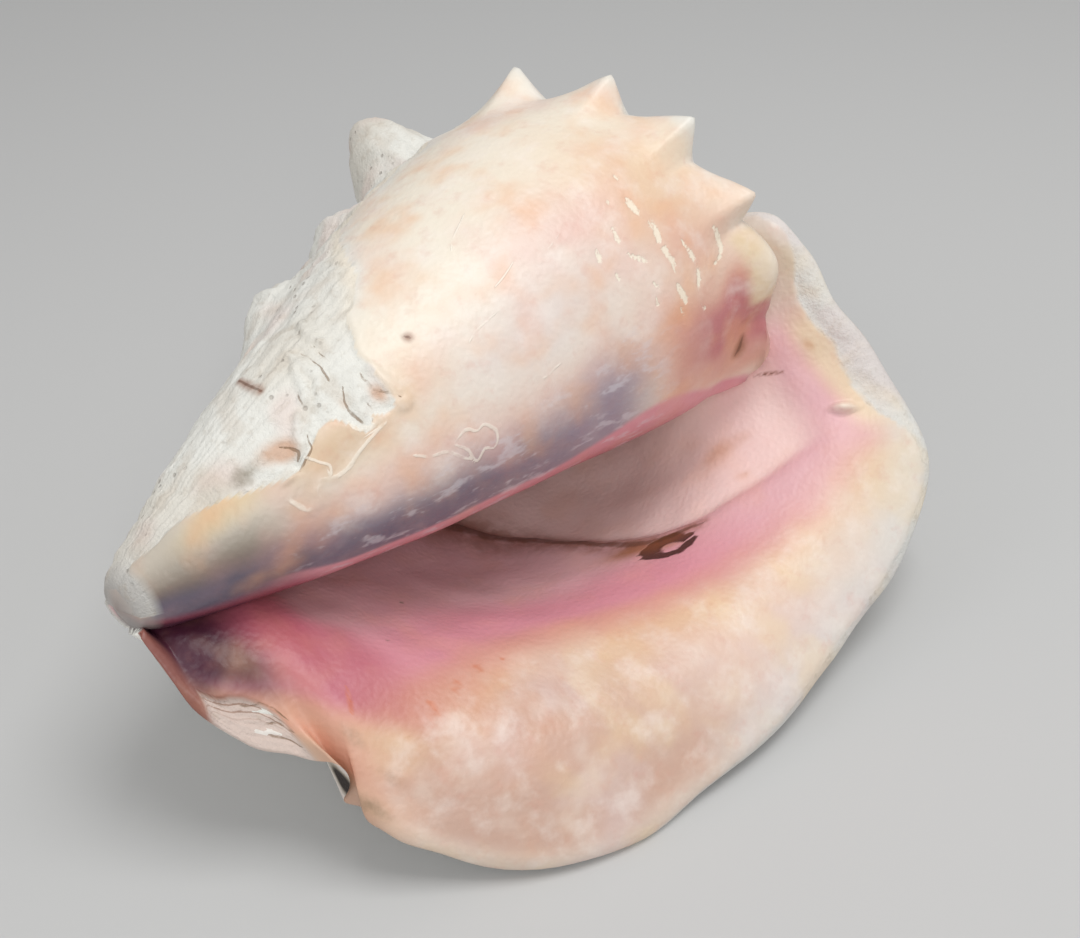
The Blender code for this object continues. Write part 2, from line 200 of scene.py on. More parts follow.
def bodyPoint(turn, share):
    turn, share = np.broadcast_arrays(np.asarray(turn, float), np.asarray(share, float))
    profile = smoothCurve(growth["profile"], share)
    radius, height = profile[..., 0], profile[..., 1]
    size = growthAt(turn)
    spiral = 1 - ease(*growth["spiralShares"], share)
    radius = radius * size ** (growth["canalGrowth"] + (1 - growth["canalGrowth"]) * spiral)
    height = growth["length"] - (growth["length"] - height) * size ** spiral
    radius = radius * (1 - smoothCurve(growth["pillarSlim"], share)[..., 0] * ease(*growth["pillarTurns"], turn))
    angle = np.radians(turn)
    bend = np.maximum((growth["canalLength"] - height) / growth["canalLength"], 0) ** 2
    x = radius * np.cos(angle) - growth["canalSwing"] * bend
    y = radius * np.sin(angle) + growth["canalBend"] * bend
    return np.stack([x, y, height], -1)


def ornament(turn, share):
    turn, share = np.broadcast_arrays(np.asarray(turn, float), np.asarray(share, float))
    height = np.zeros(turn.shape)
    below = share - relief["spineShare"]
    rising, falling, front, back = relief["sharp"]
    lengthwise = np.where(
        below > 0,
        np.clip(1 - below / relief["front"], 0, 1) ** front,
        np.clip(1 + below / relief["back"], 0, 1) ** back,
    )
    for place, size, width in relief["spines"]:
        near = np.where(
            turn < place,
            np.clip(1 - (place - turn) / width, 0, 1) ** rising,
            np.clip(1 - (turn - place) / width / relief["steep"], 0, 1) ** falling,
        ) * lengthwise
        height = np.maximum(height, size * near * (1 - relief["blunt"][0] * near ** relief["blunt"][1]))
    for place, size, width, tip, reach in relief["knobs"]:
        away = ((turn - place) / width) ** 2 + ((share - tip) / reach) ** 2
        height = np.maximum(height, size * ease(0, 1, 1 - np.sqrt(away)))
    ends = relief["ridgeTurns"]
    back = ease(*ends[:2], turn) * (1 - ease(*ends[2:], turn))
    ridge = np.zeros(turn.shape)
    for place, size in relief["ridges"]:
        lump = 1 - relief["ridgeLump"] + relief["ridgeLump"] * np.cos(np.radians(turn * 360 / relief["ridgeWave"]))
        ridge = ridge + size * lump * bell(share, place, relief["ridgeWidth"])
    angle = np.radians(turn)
    outward = np.stack([np.cos(angle), np.sin(angle), np.full(turn.shape, relief["lean"])], -1)
    return unit(outward) * (height + ridge * back)[..., None]


def spireRadius(turn, depth):
    part = np.log(depth / (relief["spireDepth"] * growthAt(turn))) / math.log(growth["whorlRatio"]) % 1.0
    ratio = smoothCurve(relief["spireProfile"], part)[..., 0]
    atShoulder = bell(np.minimum(part, 1 - part), 0, relief["spireKnobReach"])
    knob = np.clip(np.cos(np.radians(turn * relief["knobsPerWhorl"])), 0, 1) ** 2 * atShoulder
    return depth * (ratio + relief["spireKnob"] * knob)


def lipSurface(share, towardRim):
    start = bodyPoint(growth["lipRoot"], share)
    leave = unit(bodyPoint(growth["lipRoot"] - 1, share) - start)
    rim = smoothCurve(lip["rim"], share)
    heading = np.radians(rim[..., 3])
    rim = rim[..., :3]
    reach = np.linalg.norm(rim - start, axis=-1, keepdims=True)
    chord = (rim - start) / reach
    arrive = unit(np.stack([np.cos(heading), np.sin(heading), chord[..., 2]], -1))
    u = towardRim[..., None]
    surface = (
        start * (1 + 2 * u) * (1 - u) ** 2
        + rim * u * u * (3 - 2 * u)
        + leave * reach * lip["leave"] * u * (1 - u) ** 2
        - arrive * reach * lip["arrive"] * u * u * (1 - u)
    )
    return surface, reach[..., 0]


def coreGrid():
    # rings round the axis: spire, body whorl and pillar, with the turn and share of each point
    stops = np.array(density["coreStops"], float)
    turns = np.interp(np.arange(stops[-1, 1] + 1), stops[:, 1], stops[:, 0])
    rings = np.array(density["coreRings"], float)
    depths = np.interp(np.arange(rings[-1, 0] + 1), rings[:, 0], rings[:, 1])
    fineShare = np.linspace(0, 1, 500)
    columns, shares = [], []
    for turn in turns:
        reach = growth["length"] - bodyPoint(turn, fineShare)[:, 2]
        share = np.interp(depths, reach, fineShare)
        outer = bodyPoint(turn, share) + ornament(turn, share)
        radius = spireRadius(np.full(depths.shape, turn), depths)
        bearing = math.radians(turn)
        above = np.stack([radius * math.cos(bearing), radius * math.sin(bearing), growth["length"] - depths], -1)
        onSpire = depths < reach[0]
        columns.append(np.where(onSpire[:, None], above, outer))
        shares.append(np.where(onSpire, (depths - reach[0]) / reach[0], share))
    return np.stack(columns, 1), np.broadcast_to(turns, (len(depths), len(turns))), np.stack(shares, 1)


def wallFaces(share, towardRim, turns):
    # back and inner side of the outer wall, with each point's way in from the rim and its gap to the rim
    flare, reach = lipSurface(share, towardRim)
    smooth = bodyPoint(turns, share)
    steps = towardRim.shape[1]
    facing = np.concatenate([flare, smooth], 1)
    normal = unit(np.cross(np.gradient(facing, axis=0), -np.gradient(facing, axis=1)))
    rimGap = np.concatenate([(1 - towardRim) * reach, np.ones(smooth.shape[:2])], 1)
    rounding = np.sqrt(1 - np.clip(1 - rimGap / lip["rimRound"], 0, 1) ** 2)
    edges = lip["bandEdges"]
    band = ease(*edges[:2], rimGap) * (1 - ease(*edges[2:], rimGap))
    thick = (lip["wall"] + (lip["thick"] - lip["wall"]) * band) * np.maximum(rounding, lip["edgeThin"])
    atNotch = bell(share, lip["notchShare"], lip["notchWidth"]) * ease(*lip["notchReach"], towardRim)
    thick[:, :steps] *= 1 - lip["notchThin"] * atNotch
    facingOut = np.array([0.0, -1.0, 0.0])
    normal[:, :steps] = unit(normal[:, :steps] * (1 - atNotch[..., None]) + facingOut * atNotch[..., None])
    thick = thick * (1 - lip["canalThin"] * ease(*lip["canalThinShares"], share))
    for place, size, width in lip["folds"]:
        facing[:, :steps, 1] += size * bell(share, place, width) * towardRim ** lip["foldFade"]
    place, width, size, fade = lip["hood"]
    facing[:, :steps, 0] += size * bell(share, place, width) * towardRim ** fade
    sink = growth["wallSink"] * ease(growth["hollowEnd"], growth["wallEnd"], turns)
    back = facing.copy()
    back[:, steps:] += ornament(turns, share) + normal[:, steps:] * sink[..., None]
    across = 1 + (turns - growth["lipRoot"]) / (growth["wallEnd"] - growth["lipRoot"])
    way = np.concatenate([1 - towardRim, across], 1)
    return back, facing + normal * thick[..., None], normal, np.broadcast_to(way, rimGap.shape), rimGap


def wallGrid():
    share = np.interp(np.linspace(0, 1, density["lipRings"]), *np.array(density["lipSpread"]).T)[:, None]
    towardRim = 1 - np.linspace(0, 1, density["lipSteps"] + 1)[None, :-1] ** density["lipStepGrowth"]
    turns = np.linspace(growth["lipRoot"], growth["wallEnd"], density["wallSteps"])[None, :]
    back, inner, normal, way, rimGap = wallFaces(share, towardRim, turns)
    return back, inner, normal, way, rimGap, np.broadcast_to(share, way.shape)


def closeMesh(mesh, name):
    bmesh.ops.recalc_face_normals(mesh, faces=mesh.faces)
    if mesh.calc_volume(signed=True) < 0:
        bmesh.ops.reverse_faces(mesh, faces=mesh.faces)
    data = bpy.data.meshes.new(name)
    mesh.to_mesh(data)
    mesh.free()
    body = bpy.data.objects.new(name, data)
    bpy.context.scene.collection.objects.link(body)
    return body


def loftRings(name, rings):
    # a tube from a rolled-up grid, closed at both ends
    rows, columns = rings.shape[:2]
    mesh = bmesh.new()
    number = mesh.verts.layers.int.new("number")
    made = bmesh.ops.create_grid(mesh, x_segments=columns, y_segments=rows - 1, size=0.5)
    seam = {}
    for vert in made["verts"]:
        column = round((vert.co.x + 0.5) * columns)
        row = round((vert.co.y + 0.5) * (rows - 1))
        vert[number] = row * columns + column % columns
        if column % columns == 0:
            seam.setdefault(row, []).append(vert)
        vert.co = Vector(rings[row, column % columns])
    bmesh.ops.weld_verts(mesh, targetmap={pair[1]: pair[0] for pair in seam.values()})
    for row in (0, rows - 1):
        ring = [v for v in mesh.verts if v[number] // columns == row]
        ends = [e for e in {e for v in ring for e in v.link_edges} if e.is_boundary]
        cap = bmesh.ops.extrude_edge_only(mesh, edges=ends)["geom"]
        capVerts = [v for v in cap if isinstance(v, bmesh.types.BMVert)]
        middle = rings[row].mean(0)
        beyond = middle - rings[row - 1 if row else 1].mean(0)
        bmesh.ops.pointmerge(mesh, verts=capVerts, merge_co=Vector(middle + beyond))
    return closeMesh(mesh, name)


def foldWall(name, back, face):
    rows, columns = back.shape[:2]
    mesh = bmesh.new()
    number = mesh.verts.layers.int.new("number")
    made = bmesh.ops.create_grid(mesh, x_segments=columns - 1, y_segments=rows - 1, size=0.5)
    for vert in made["verts"]:
        column = round((vert.co.x + 0.5) * (columns - 1))
        row = round((vert.co.y + 0.5) * (rows - 1))
        vert[number] = row * columns + column
        vert.co = Vector(back[row, column])
    grown = bmesh.ops.extrude_face_region(mesh, geom=mesh.faces[:], use_keep_orig=True)["geom"]
    for vert in grown:
        if isinstance(vert, bmesh.types.BMVert):
            vert.co = Vector(face[divmod(vert[number], columns)])
    return closeMesh(mesh, name)


# Marks drawn on the shell, each a line of places: turn on the body or way in from the rim on the lip, share,
# and half width in mm
marks = {
    "thread": {
        "body": (
            ((212, 0.777, 0.35), (223, 0.784, 0.45), (231, 0.787, 0.3)),
            ((331, 0.242, 0.3), (334, 0.25, 0.7), (336, 0.256, 0.4)),
            ((263, 0.67, 0.3), (264, 0.668, 0.4)),
        ),
        "lip": (
            ((1.16, 0.428, 3.4), (1.05, 0.39, 3.2), (0.97, 0.366, 2.6), (0.9, 0.348, 1.9), (0.79, 0.343, 1.3),
             (0.69, 0.357, 1.5), (0.62, 0.372, 1.6), (0.56, 0.378, 1), (0.48, 0.364, 0.4)),
            ((0.345, 0.155, 0.1), (0.3, 0.163, 0.18), (0.26, 0.17, 0.08)),
        ),
    },
    "crack": {
        "body": (
            ((227, 0.731, 0.3), (234, 0.735, 0.5), (240, 0.737, 0.35), (248, 0.741, 0.8), (254, 0.747, 0.5)),
            ((236, 0.722, 0.2), (244, 0.729, 0.4), (250, 0.731, 0.3)),
            ((261, 0.744, 0.3), (267, 0.754, 0.6), (273, 0.758, 0.8), (280, 0.758, 0.5)),
            ((272, 0.743, 0.3), (277, 0.742, 0.5), (280, 0.745, 0.7), (282, 0.749, 0.4)),
            ((262, 0.724, 0.5), (267, 0.727, 1), (272, 0.728, 1), (276, 0.722, 0.6), (281, 0.716, 0.3)),
            ((268, 0.799, 0.2), (272, 0.803, 0.5), (276, 0.806, 0.4), (278, 0.814, 0.8), (281, 0.823, 0.7)),
            ((262, 0.825, 0.3), (268, 0.818, 0.8), (273, 0.817, 0.9), (276, 0.821, 0.4)),
            ((246, 0.77, 0.2), (252, 0.779, 0.5), (259, 0.784, 0.4), (263, 0.794, 0.3)),
        ),
        "lip": (
            ((0.36, 0.962, 0.3), (0.33, 0.953, 0.5), (0.355, 0.945, 0.4), (0.32, 0.936, 0.5), (0.27, 0.93, 0.3)),
            ((0.3, 0.966, 0.5), (0.26, 0.957, 0.8), (0.22, 0.95, 0.6), (0.24, 0.942, 0.5), (0.18, 0.934, 0.3)),
            ((0.16, 0.958, 0.3), (0.12, 0.951, 0.6), (0.13, 0.944, 0.4), (0.08, 0.938, 0.3)),
        ),
    },
    "rise": {
        "body": (
            ((285, 0.841, 0.5), (291, 0.845, 0.6), (297, 0.842, 0.7), (303, 0.836, 0.7), (303, 0.828, 0.6),
             (297, 0.823, 0.5), (292, 0.815, 0.5), (295, 0.805, 0.6), (294, 0.791, 0.6), (291, 0.778, 0.5),
             (288, 0.76, 0.5), (286, 0.742, 0.4)),
            ((278, 0.814, 0.4), (284, 0.808, 0.4), (288, 0.803, 0.4), (292, 0.806, 0.3)),
            ((309, 0.693, 0.3), (307, 0.681, 0.5), (310, 0.672, 0.3), (309, 0.662, 0.5), (315, 0.654, 0.5),
             (321, 0.66, 0.3), (319, 0.671, 0.5), (323, 0.682, 0.4), (316, 0.687, 0.5), (311, 0.696, 0.2)),
            ((306, 0.735, 0.4), (310, 0.722, 0.5), (312, 0.706, 0.5), (318, 0.694, 0.4), (323, 0.68, 0.3)),
            ((276, 0.766, 0.6), (281, 0.764, 0.8), (284, 0.756, 0.8), (284, 0.748, 0.6)),
            ((243, 0.505, 0.2), (247, 0.545, 0.3), (250, 0.56, 0.2)),
            ((266, 0.525, 0.2), (268, 0.548, 0.3), (269, 0.565, 0.2)),
            ((268, 0.458, 0.2), (270, 0.49, 0.3), (271, 0.505, 0.2)),
            ((276, 0.581, 0.2), (277, 0.612, 0.3), (279, 0.63, 0.2)),
            ((303, 0.56, 0.3), (305, 0.592, 0.4), (305, 0.61, 0.2)),
        ),
    },
    "fleck": {
        "body": (
            ((272.4, 0.348, 1), (274.6, 0.35, 1.2), (276.4, 0.352, 0.6), (278.4, 0.353, 0.5)),
            ((281.2, 0.344, 1), (283.5, 0.346, 1.1), (286.3, 0.351, 0.8)),
            ((276.6, 0.4, 0.9), (278.6, 0.404, 0.9), (280.4, 0.406, 0.6)),
            ((278.6, 0.441, 0.5), (280, 0.444, 0.8), (281.8, 0.447, 0.9)),
            ((290, 0.317, 0.4), (293.5, 0.314, 0.8), (295.5, 0.313, 0.9), (297.5, 0.311, 0.4)),
            ((284.5, 0.408, 0.6), (287, 0.4, 0.8), (289.5, 0.391, 0.6)),
            ((289.8, 0.353, 1.1), (292.8, 0.352, 0.9), (296.8, 0.355, 0.4)),
            ((298.6, 0.311, 0.5), (301.2, 0.317, 0.8), (305.2, 0.328, 0.4)),
            ((301, 0.363, 0.8), (303.5, 0.361, 1), (306.8, 0.361, 0.6)),
            ((310, 0.33, 0.5), (312.6, 0.328, 0.6)),
            ((292, 0.254, 0.8), (297, 0.248, 1), (300.5, 0.256, 0.7), (301.5, 0.275, 0.5)),
            ((264, 0.33, 0.5), (265.5, 0.332, 0.5)),
            ((268.5, 0.374, 0.5), (270, 0.376, 0.5)),
            ((300.5, 0.406, 0.5), (303, 0.408, 0.6)),
            ((307.5, 0.372, 0.5), (310, 0.371, 0.6)),
            ((296, 0.398, 0.5), (298, 0.395, 0.6)),
            ((288, 0.44, 0.5), (290, 0.441, 0.6)),
        ),
    },
    "dash": {
        "lip": (
            ((0.545, 0.838, 0.3), (0.5, 0.842, 0.5), (0.44, 0.85, 0.2)),
            ((0.511, 0.77, 0.6), (0.485, 0.773, 0.9), (0.455, 0.776, 0.4)),
            ((0.554, 0.73, 0.6), (0.535, 0.733, 0.9), (0.522, 0.736, 0.4)),
            ((0.576, 0.691, 0.5), (0.56, 0.696, 0.8), (0.543, 0.702, 0.4)),
            ((0.562, 0.661, 0.4), (0.55, 0.664, 0.5)),
            ((0.538, 0.582, 0.3), (0.528, 0.585, 0.4)),
            ((0.522, 0.793, 0.4), (0.49, 0.797, 0.3)),
        ),
    },
    "speck": {
        "lip": (
            ((0.727, 0.742, 0.8), (0.722, 0.745, 0.9)),
            ((0.854, 0.641, 0.8), (0.85, 0.644, 0.8)),
        ),
    },
    "finger": {
        "body": (
            ((264, 0.733, 1.2), (269, 0.741, 1.7), (275, 0.749, 1.8), (280, 0.752, 1.5)),
            ((263, 0.715, 1), (269, 0.72, 1.8), (275, 0.719, 2), (281, 0.717, 1.8), (284, 0.716, 1)),
            ((246, 0.744, 0.9), (254, 0.757, 1.3), (262, 0.769, 1.2), (268, 0.778, 0.8)),
            ((236, 0.752, 0.7), (246, 0.765, 1.1), (254, 0.778, 0.9)),
            ((258, 0.793, 0.8), (266, 0.805, 1.3), (273, 0.812, 1.3), (277, 0.818, 0.8)),
            ((230, 0.742, 0.7), (240, 0.748, 1), (248, 0.752, 0.8)),
            ((222, 0.7, 0.9), (230, 0.712, 1.2), (238, 0.716, 0.8)),
            ((262, 0.838, 1), (270, 0.842, 1.4), (279, 0.836, 1.2)),
        ),
    },
}

# Small relief, in metres unless said
touch = {
    "ledgeKeys": ((0.25, 0.285), (0.317, 0.299), (0.369, 0.314), (0.431, 0.332), (0.487, 0.349), (0.552, 0.357),
                  (0.604, 0.354), (0.671, 0.346), (0.788, 0.332), (0.913, 0.337), (0.991, 0.363), (1.085, 0.390),
                  (1.3, 0.46), (2.0, 0.66)),
    "ledgeStep": 0.0022,
    "ledgeWidth": 0.009,
    "pit": (0.521, 0.397),
    "pitAcross": ((-16.6, -16.6), (-4.7, 33.4)),
    "pitDepth": 0.0008,
    "wart": (0.195, 0.244),
    "wartSize": (0.030, 0.0115),
    "wartHeight": 0.0026,
    "marginWay": ((-0.1, 0.0), (0.03, 0.010), (0.056, 0.020), (0.098, 0.098), (0.13, 0.116), (0.148, 0.092),
                  (0.188, 0.115), (0.21, 0.132), (0.234, 0.126), (0.262, 0.105), (0.275, 0.070), (0.30, 0.040),
                  (0.38, 0.034), (0.46, 0.030), (0.54, 0.022), (0.62, 0.012), (0.70, 0.0), (1.1, -0.02)),
    "lipCorner": 352,
    "chipShares": (0.936, 0.974),
    "chipWay": 0.36,
    "chipDepth": 0.55,
    "tipShare": 0.984,
    "lipMottle": 0.00045,
    "rimWave": 0.0021,
    "glazeEdge": 0.0006,
    "finger": 0.0011,
    "parietal": 0.0016,
    "parietalLine": ((0.12, 320), (0.19, 326), (0.215, 337), (0.225, 349), (0.24, 353), (0.30, 352)),
    "cordPitch": 0.026,
    "cordHeight": 0.00035,
    "chalkLine": (
        (-1.0, 205), (0.0, 205), (0.15, 205), (0.25, 200), (0.45, 198), (0.54, 200), (0.60, 218), (0.65, 234),
        (0.695, 246), (0.712, 258), (0.722, 278), (0.735, 283), (0.745, 280), (0.760, 284), (0.775, 272),
        (0.80, 274), (0.824, 282), (0.845, 280), (0.864, 273), (0.888, 264), (0.905, 256), (0.945, 250), (1.0, 238),
    ),
}


def between(grid, row, column):
    # the place between a grid's points
    row = np.clip(row, 0, grid.shape[0] - 1.001)
    column = np.clip(column, 0, grid.shape[1] - 1.001)
    r, c = int(row), int(column)
    u, v = row - r, column - c
    near = grid[r, c] * (1 - v) + grid[r, c + 1] * v
    far = grid[r + 1, c] * (1 - v) + grid[r + 1, c + 1] * v
    return near * (1 - u) + far * u


def onBody(turn, share):
    column = np.interp(turn, coreTurn[0], np.arange(coreTurn.shape[1]))
    row = np.interp(share, coreShare[:, int(round(column))], np.arange(coreShare.shape[0]))
    return between(corePoints, row, column)


def onLip(way, share):
    column = np.interp(way, wallWay[0], np.arange(wallWay.shape[1]))
    row = np.interp(share, wallShare[:, 0], np.arange(wallShare.shape[0]))
    return between(wallInner, row, column)


def drawn(where, points, normals, curves):
    # how far each point is from the nearest drawn line, in half widths: with a side, and without
    shape = points.shape[:-1]
    points, normals = points.reshape(-1, 3), normals.reshape(-1, 3)
    side, away = np.full(len(points), 9.0), np.full(len(points), 9.0)
    place = {"body": onBody, "lip": onLip}[where]
    for keys in curves.get(where, ()):
        steps = np.linspace(0, len(keys) - 1, (len(keys) - 1) * 3 + 1)
        fine = smoothCurve([(i, *key) for i, key in enumerate(keys)], steps)
        trail = np.array([place(along, share) for along, share, width in fine])
        near = np.all((points > trail.min(0) - 0.012) & (points < trail.max(0) + 0.012), axis=1).nonzero()[0]
        for start, end, width in zip(trail, trail[1:], fine[:, 2]):
            reach = end - start
            u = np.clip((points[near] - start) @ reach / (reach @ reach + 1e-12), 0, 1)
            gap = points[near] - start - u[:, None] * reach
            distance = np.linalg.norm(gap, axis=1) / (width / 1000)
            sign = np.sign((np.cross(reach, normals[near]) * gap).sum(1))
            closer = distance < away[near]
            away[near[closer]] = distance[closer]
            side[near[closer]] = (distance * sign)[closer]
    return side.reshape(shape), away.reshape(shape)


def stroke(away):
    return np.clip(1 - away / 2.2, 0, 1) ** 0.7


def pitPlace(way, share):
    # along and across the slanting pit, 1 at its edge
    way, share = way - touch["pit"][0], share - touch["pit"][1]
    return [first * way + second * share for first, second in touch["pitAcross"]]


def ledgeSide(way, share):
    # positive on the raised rim side of the ledge, negative in the hollow behind it
    line = smoothCurve(touch["ledgeKeys"], way)[..., 0]
    return (share - line) / touch["ledgeWidth"]


def chalkyCore(turn, share, points):
    # above 0 where the outside is bare and chalky, below 0 where it is glazed
    line = smoothCurve(touch["chalkLine"], share)[..., 0] + 3.5 * grain(points, 0.006, 31)
    field = (line - turn) / 4
    field = np.maximum(field, (0.150 - share) / 0.02)
    behindLip = share > 0.13 + 0.27 * ease(357, 372, turn)
    field = np.where(turn > touch["lipCorner"], np.where(behindLip, -3.0, 2.0), field)
    field = np.where((share > touch["tipShare"]) & (turn < 330), 1.0, field)
    return np.clip(field, -3, 3)


def chalkyMargin(way, share, points):
    # the same on the inside of the lip: the bare edge of its back part and the layered edge further on
    edge = smoothCurve(touch["marginWay"], share)[..., 0]
    return np.clip((edge - way + 0.010 * grain(points, 0.006, 33) + 0.006 * grain(points, 0.002, 34)) / 0.012, -3, 2)


def dressCore(points, turn, share, normal, chalky, away):
    lumps = grain(points, 0.007, 2)
    fine = grain(points, 0.0022, 3)
    rough = ease(-0.3, 0.5, chalky)
    ribs = np.abs(grain(points * np.array([1.0, 1.0, 0.5]), 0.006, 13))
    worn = ease(0.60, 0.70, share) * (1 - ease(0.84, 0.90, share)) * rough
    lines = grain(np.stack([turn * 0.006, share * 0.05, turn * 0], -1), 0.012, 4)
    cords = np.cos(share / touch["cordPitch"] * 2 * math.pi + 1.5 * lumps)
    height = 0.00032 * grain(points, 0.022, 1) + (0.00010 + 0.0003 * rough) * lumps + (0.00002 + 0.00016 * rough) * fine
    height = height + rough * (0.0003 * lines + touch["cordHeight"] * cords * (1 - worn)) * ease(0, 0.1, share)
    height = height + worn * (0.0008 * (0.35 - ribs) - 0.0004)
    height = height - touch["glazeEdge"] * rough * ease(0.60, 0.70, share)
    height = height + 0.00022 * stroke(away["rise"]) * ease(0.73, 0.74, share)
    height = height + touch["finger"] * np.clip(1 - away["finger"] / 1.5, 0, 1) ** 0.5
    height = height - 0.0006 * stroke(away["crack"]) - 0.0002 * stroke(away["fleck"])
    crest = turn - smoothCurve(touch["parietalLine"], share)[..., 0]
    edge = np.exp(-(crest / 3.0) ** 2) * ease(0.17, 0.20, share) * (1 - ease(0.24, 0.30, share))
    height = height + touch["parietal"] * edge - 0.0007 * bell(turn, 318 + (share - 0.19) * 250, 4) * ease(
        0.18, 0.2, share) * (1 - ease(0.24, 0.27, share))
    end = ease(0.0, 0.02, share) * (1 - ease(0.97, 1.0, share))
    return points + normal * (height * (0.3 + 0.7 * end))[..., None]


def dressWall(back, inner, normal, way, rimGap, share, away):
    side = ledgeSide(way, share)
    inside = ease(0.05, 0.2, way)
    step = touch["ledgeStep"] * (ease(-1, 1, side) - 1) * ease(0.24, 0.36, way) * (1 - ease(1.25, 1.7, way))
    dent = -touch["pitDepth"] * (1 - ease(0.45, 1.0, np.hypot(*pitPlace(way, share))))
    wart = ((way - touch["wart"][0]) / touch["wartSize"][0]) ** 2
    wart = wart + ((share - touch["wart"][1]) / touch["wartSize"][1]) ** 2
    bump = touch["wartHeight"] * np.clip(1 - wart, 0, 1) ** 0.5
    mottle = touch["lipMottle"] * grain(inner, 0.009, 5) * inside + 0.0006 * grain(inner, 0.028, 6)
    chip = chipMask(way, share, inner)
    layers = grain(np.stack([way * 0.09, share * 0.25, rimGap * 0.2], -1), 0.0030, 8)
    thick = np.linalg.norm(inner - back, axis=-1)
    broken = 0.0006 * layers + 0.0003 * grain(inner, 0.0018, 14) - 0.0004 * stroke(away["crack"])
    broken = chip * (broken * ease(0.0004, 0.0016, thick) - touch["chipDepth"] * thick)
    edge = ease(0.0005, 0.004, rimGap)
    bareEdge = ease(-0.4, 0.8, chalkyMargin(way, share, inner))
    crust = bareEdge * (0.0004 * grain(inner, 0.004, 16) + 0.0003 * layers - 0.0004)
    lift = (step + dent + bump + mottle) * edge + crust * ease(0, 0.003, rimGap) + broken * ease(0, 0.002, rimGap)
    inner = inner + normal * lift[..., None]
    rough = 0.0005 * grain(back, 0.006, 9) + 0.0006 * grain(back, 0.02, 10) + 0.0002 * grain(back, 0.0022, 11)
    fold = 0.0008 * np.sin(way * 34 + 3 * grain(back, 0.05, 12)) * ease(0.02, 0.2, way) * (1 - ease(0.9, 1.2, way))
    back = back - normal * ((rough + fold) * edge)[..., None]
    ruffle = grain(np.stack([inner[..., 2] * 1.0, inner[..., 0] * 1.0, inner[..., 0] * 0], -1)[:, :1], 0.015, 15)
    outward = unit(inner[:, :1] - inner[:, 8:9])
    shift = outward * (touch["rimWave"] * ruffle * np.clip(1 - way * 7, 0, 1) ** 2 * (way < 1))[..., None]
    return back + shift, inner + shift


def chipReach(share):
    low, high = touch["chipShares"]
    return touch["chipWay"] * (0.75 + 0.25 * np.sin((share - low) / (high - low) * math.pi))


def chipMask(way, share, points):
    low, high = touch["chipShares"]
    chip = ease(low - 0.003, low + 0.002, share) * (1 - ease(high - 0.002, high + 0.003, share))
    return chip * (1 - ease(0, 0.03, way - chipReach(share) + 0.03 * grain(points, 0.004, 7)))


def facingOut(points, sign):
    normal = unit(np.cross(np.gradient(points, axis=1), np.gradient(points, axis=0)))
    return normal * sign


print("conch shell: growing the body and the lip")
corePoints, coreTurn, coreShare = coreGrid()
wallBack, wallInner, wallNormal, wallWay, wallGap, wallShare = wallGrid()
coreNormal = facingOut(corePoints, 1)
if (coreNormal[..., :2] * corePoints[..., :2]).sum() < 0:
    coreNormal = -coreNormal
coreMarks = {name: drawn("body", corePoints, coreNormal, curves) for name, curves in marks.items()}
wallMarks = {name: drawn("lip", wallInner, wallNormal, curves) for name, curves in marks.items()}
coreChalk = chalkyCore(coreTurn, coreShare, corePoints)
wallChip = chipMask(wallWay, wallShare, wallInner)
wallMargin = chalkyMargin(wallWay, wallShare, wallInner)
corePoints = dressCore(
    corePoints, coreTurn, coreShare, coreNormal, coreChalk, {name: m[1] for name, m in coreMarks.items()})
wallBack, wallInner = dressWall(
    wallBack, wallInner, wallNormal, wallWay, wallGap, wallShare, {name: m[1] for name, m in wallMarks.items()})
core = loftRings("core", corePoints)
outerWall = foldWall("outerWall", wallBack, wallInner)

# What is known of each point: part of the shell (0 body, 1 inside of the wall, 2 back of it) and where on it
far = np.full(wallWay.shape, 9.0)
known = {
    "place": (corePoints, wallInner, wallBack),
    "part": (np.zeros(coreTurn.shape), np.ones(wallWay.shape), np.full(wallWay.shape, 2.0)),
    "along": (coreTurn, wallWay, wallWay),
    "share": (coreShare, wallShare, wallShare),
    "gap": (np.ones(coreTurn.shape), wallGap, wallGap),
    "chalk": (coreChalk, np.maximum(wallMargin, 5 * wallChip - 3), np.full(wallWay.shape, 3.0)),
    "chip": (np.zeros(coreTurn.shape), wallChip, 0 * far),
}
for name in marks:
    known[name + "Side"] = (coreMarks[name][0], wallMarks[name][0], far)
    known[name + "Away"] = (coreMarks[name][1], wallMarks[name][1], far)
known = {name: np.concatenate([k.reshape(-1, *k.shape[2:]) for k in sorts]) for name, sorts in known.items()}

print("conch shell: joining them")
join = core.modifiers.new("join", "BOOLEAN")
join.operation = "UNION"
join.solver = "EXACT"
join.object = outerWall
shellMesh = bpy.data.meshes.new_from_object(core.evaluated_get(bpy.context.evaluated_depsgraph_get()))
for helper in (core, outerWall):
    bpy.data.objects.remove(helper)
shell = bpy.data.objects.new("conchShell", shellMesh)
bpy.context.scene.collection.objects.link(shell)
print("conch shell:", len(shellMesh.polygons), "faces")

place = np.empty(len(shellMesh.vertices) * 3, np.float32)
shellMesh.vertices.foreach_get("co", place)
place = place.reshape(-1, 3).astype(float)
tree = KDTree(len(known["place"]))
for index, point in enumerate(known["place"]):
    tree.insert(point, index)
tree.balance()
nearest = np.array([tree.find(point)[1] for point in place])
found = {name: values[nearest] for name, values in known.items()}
part, along, share, gap = (found[name] for name in ("part", "along", "share", "gap"))

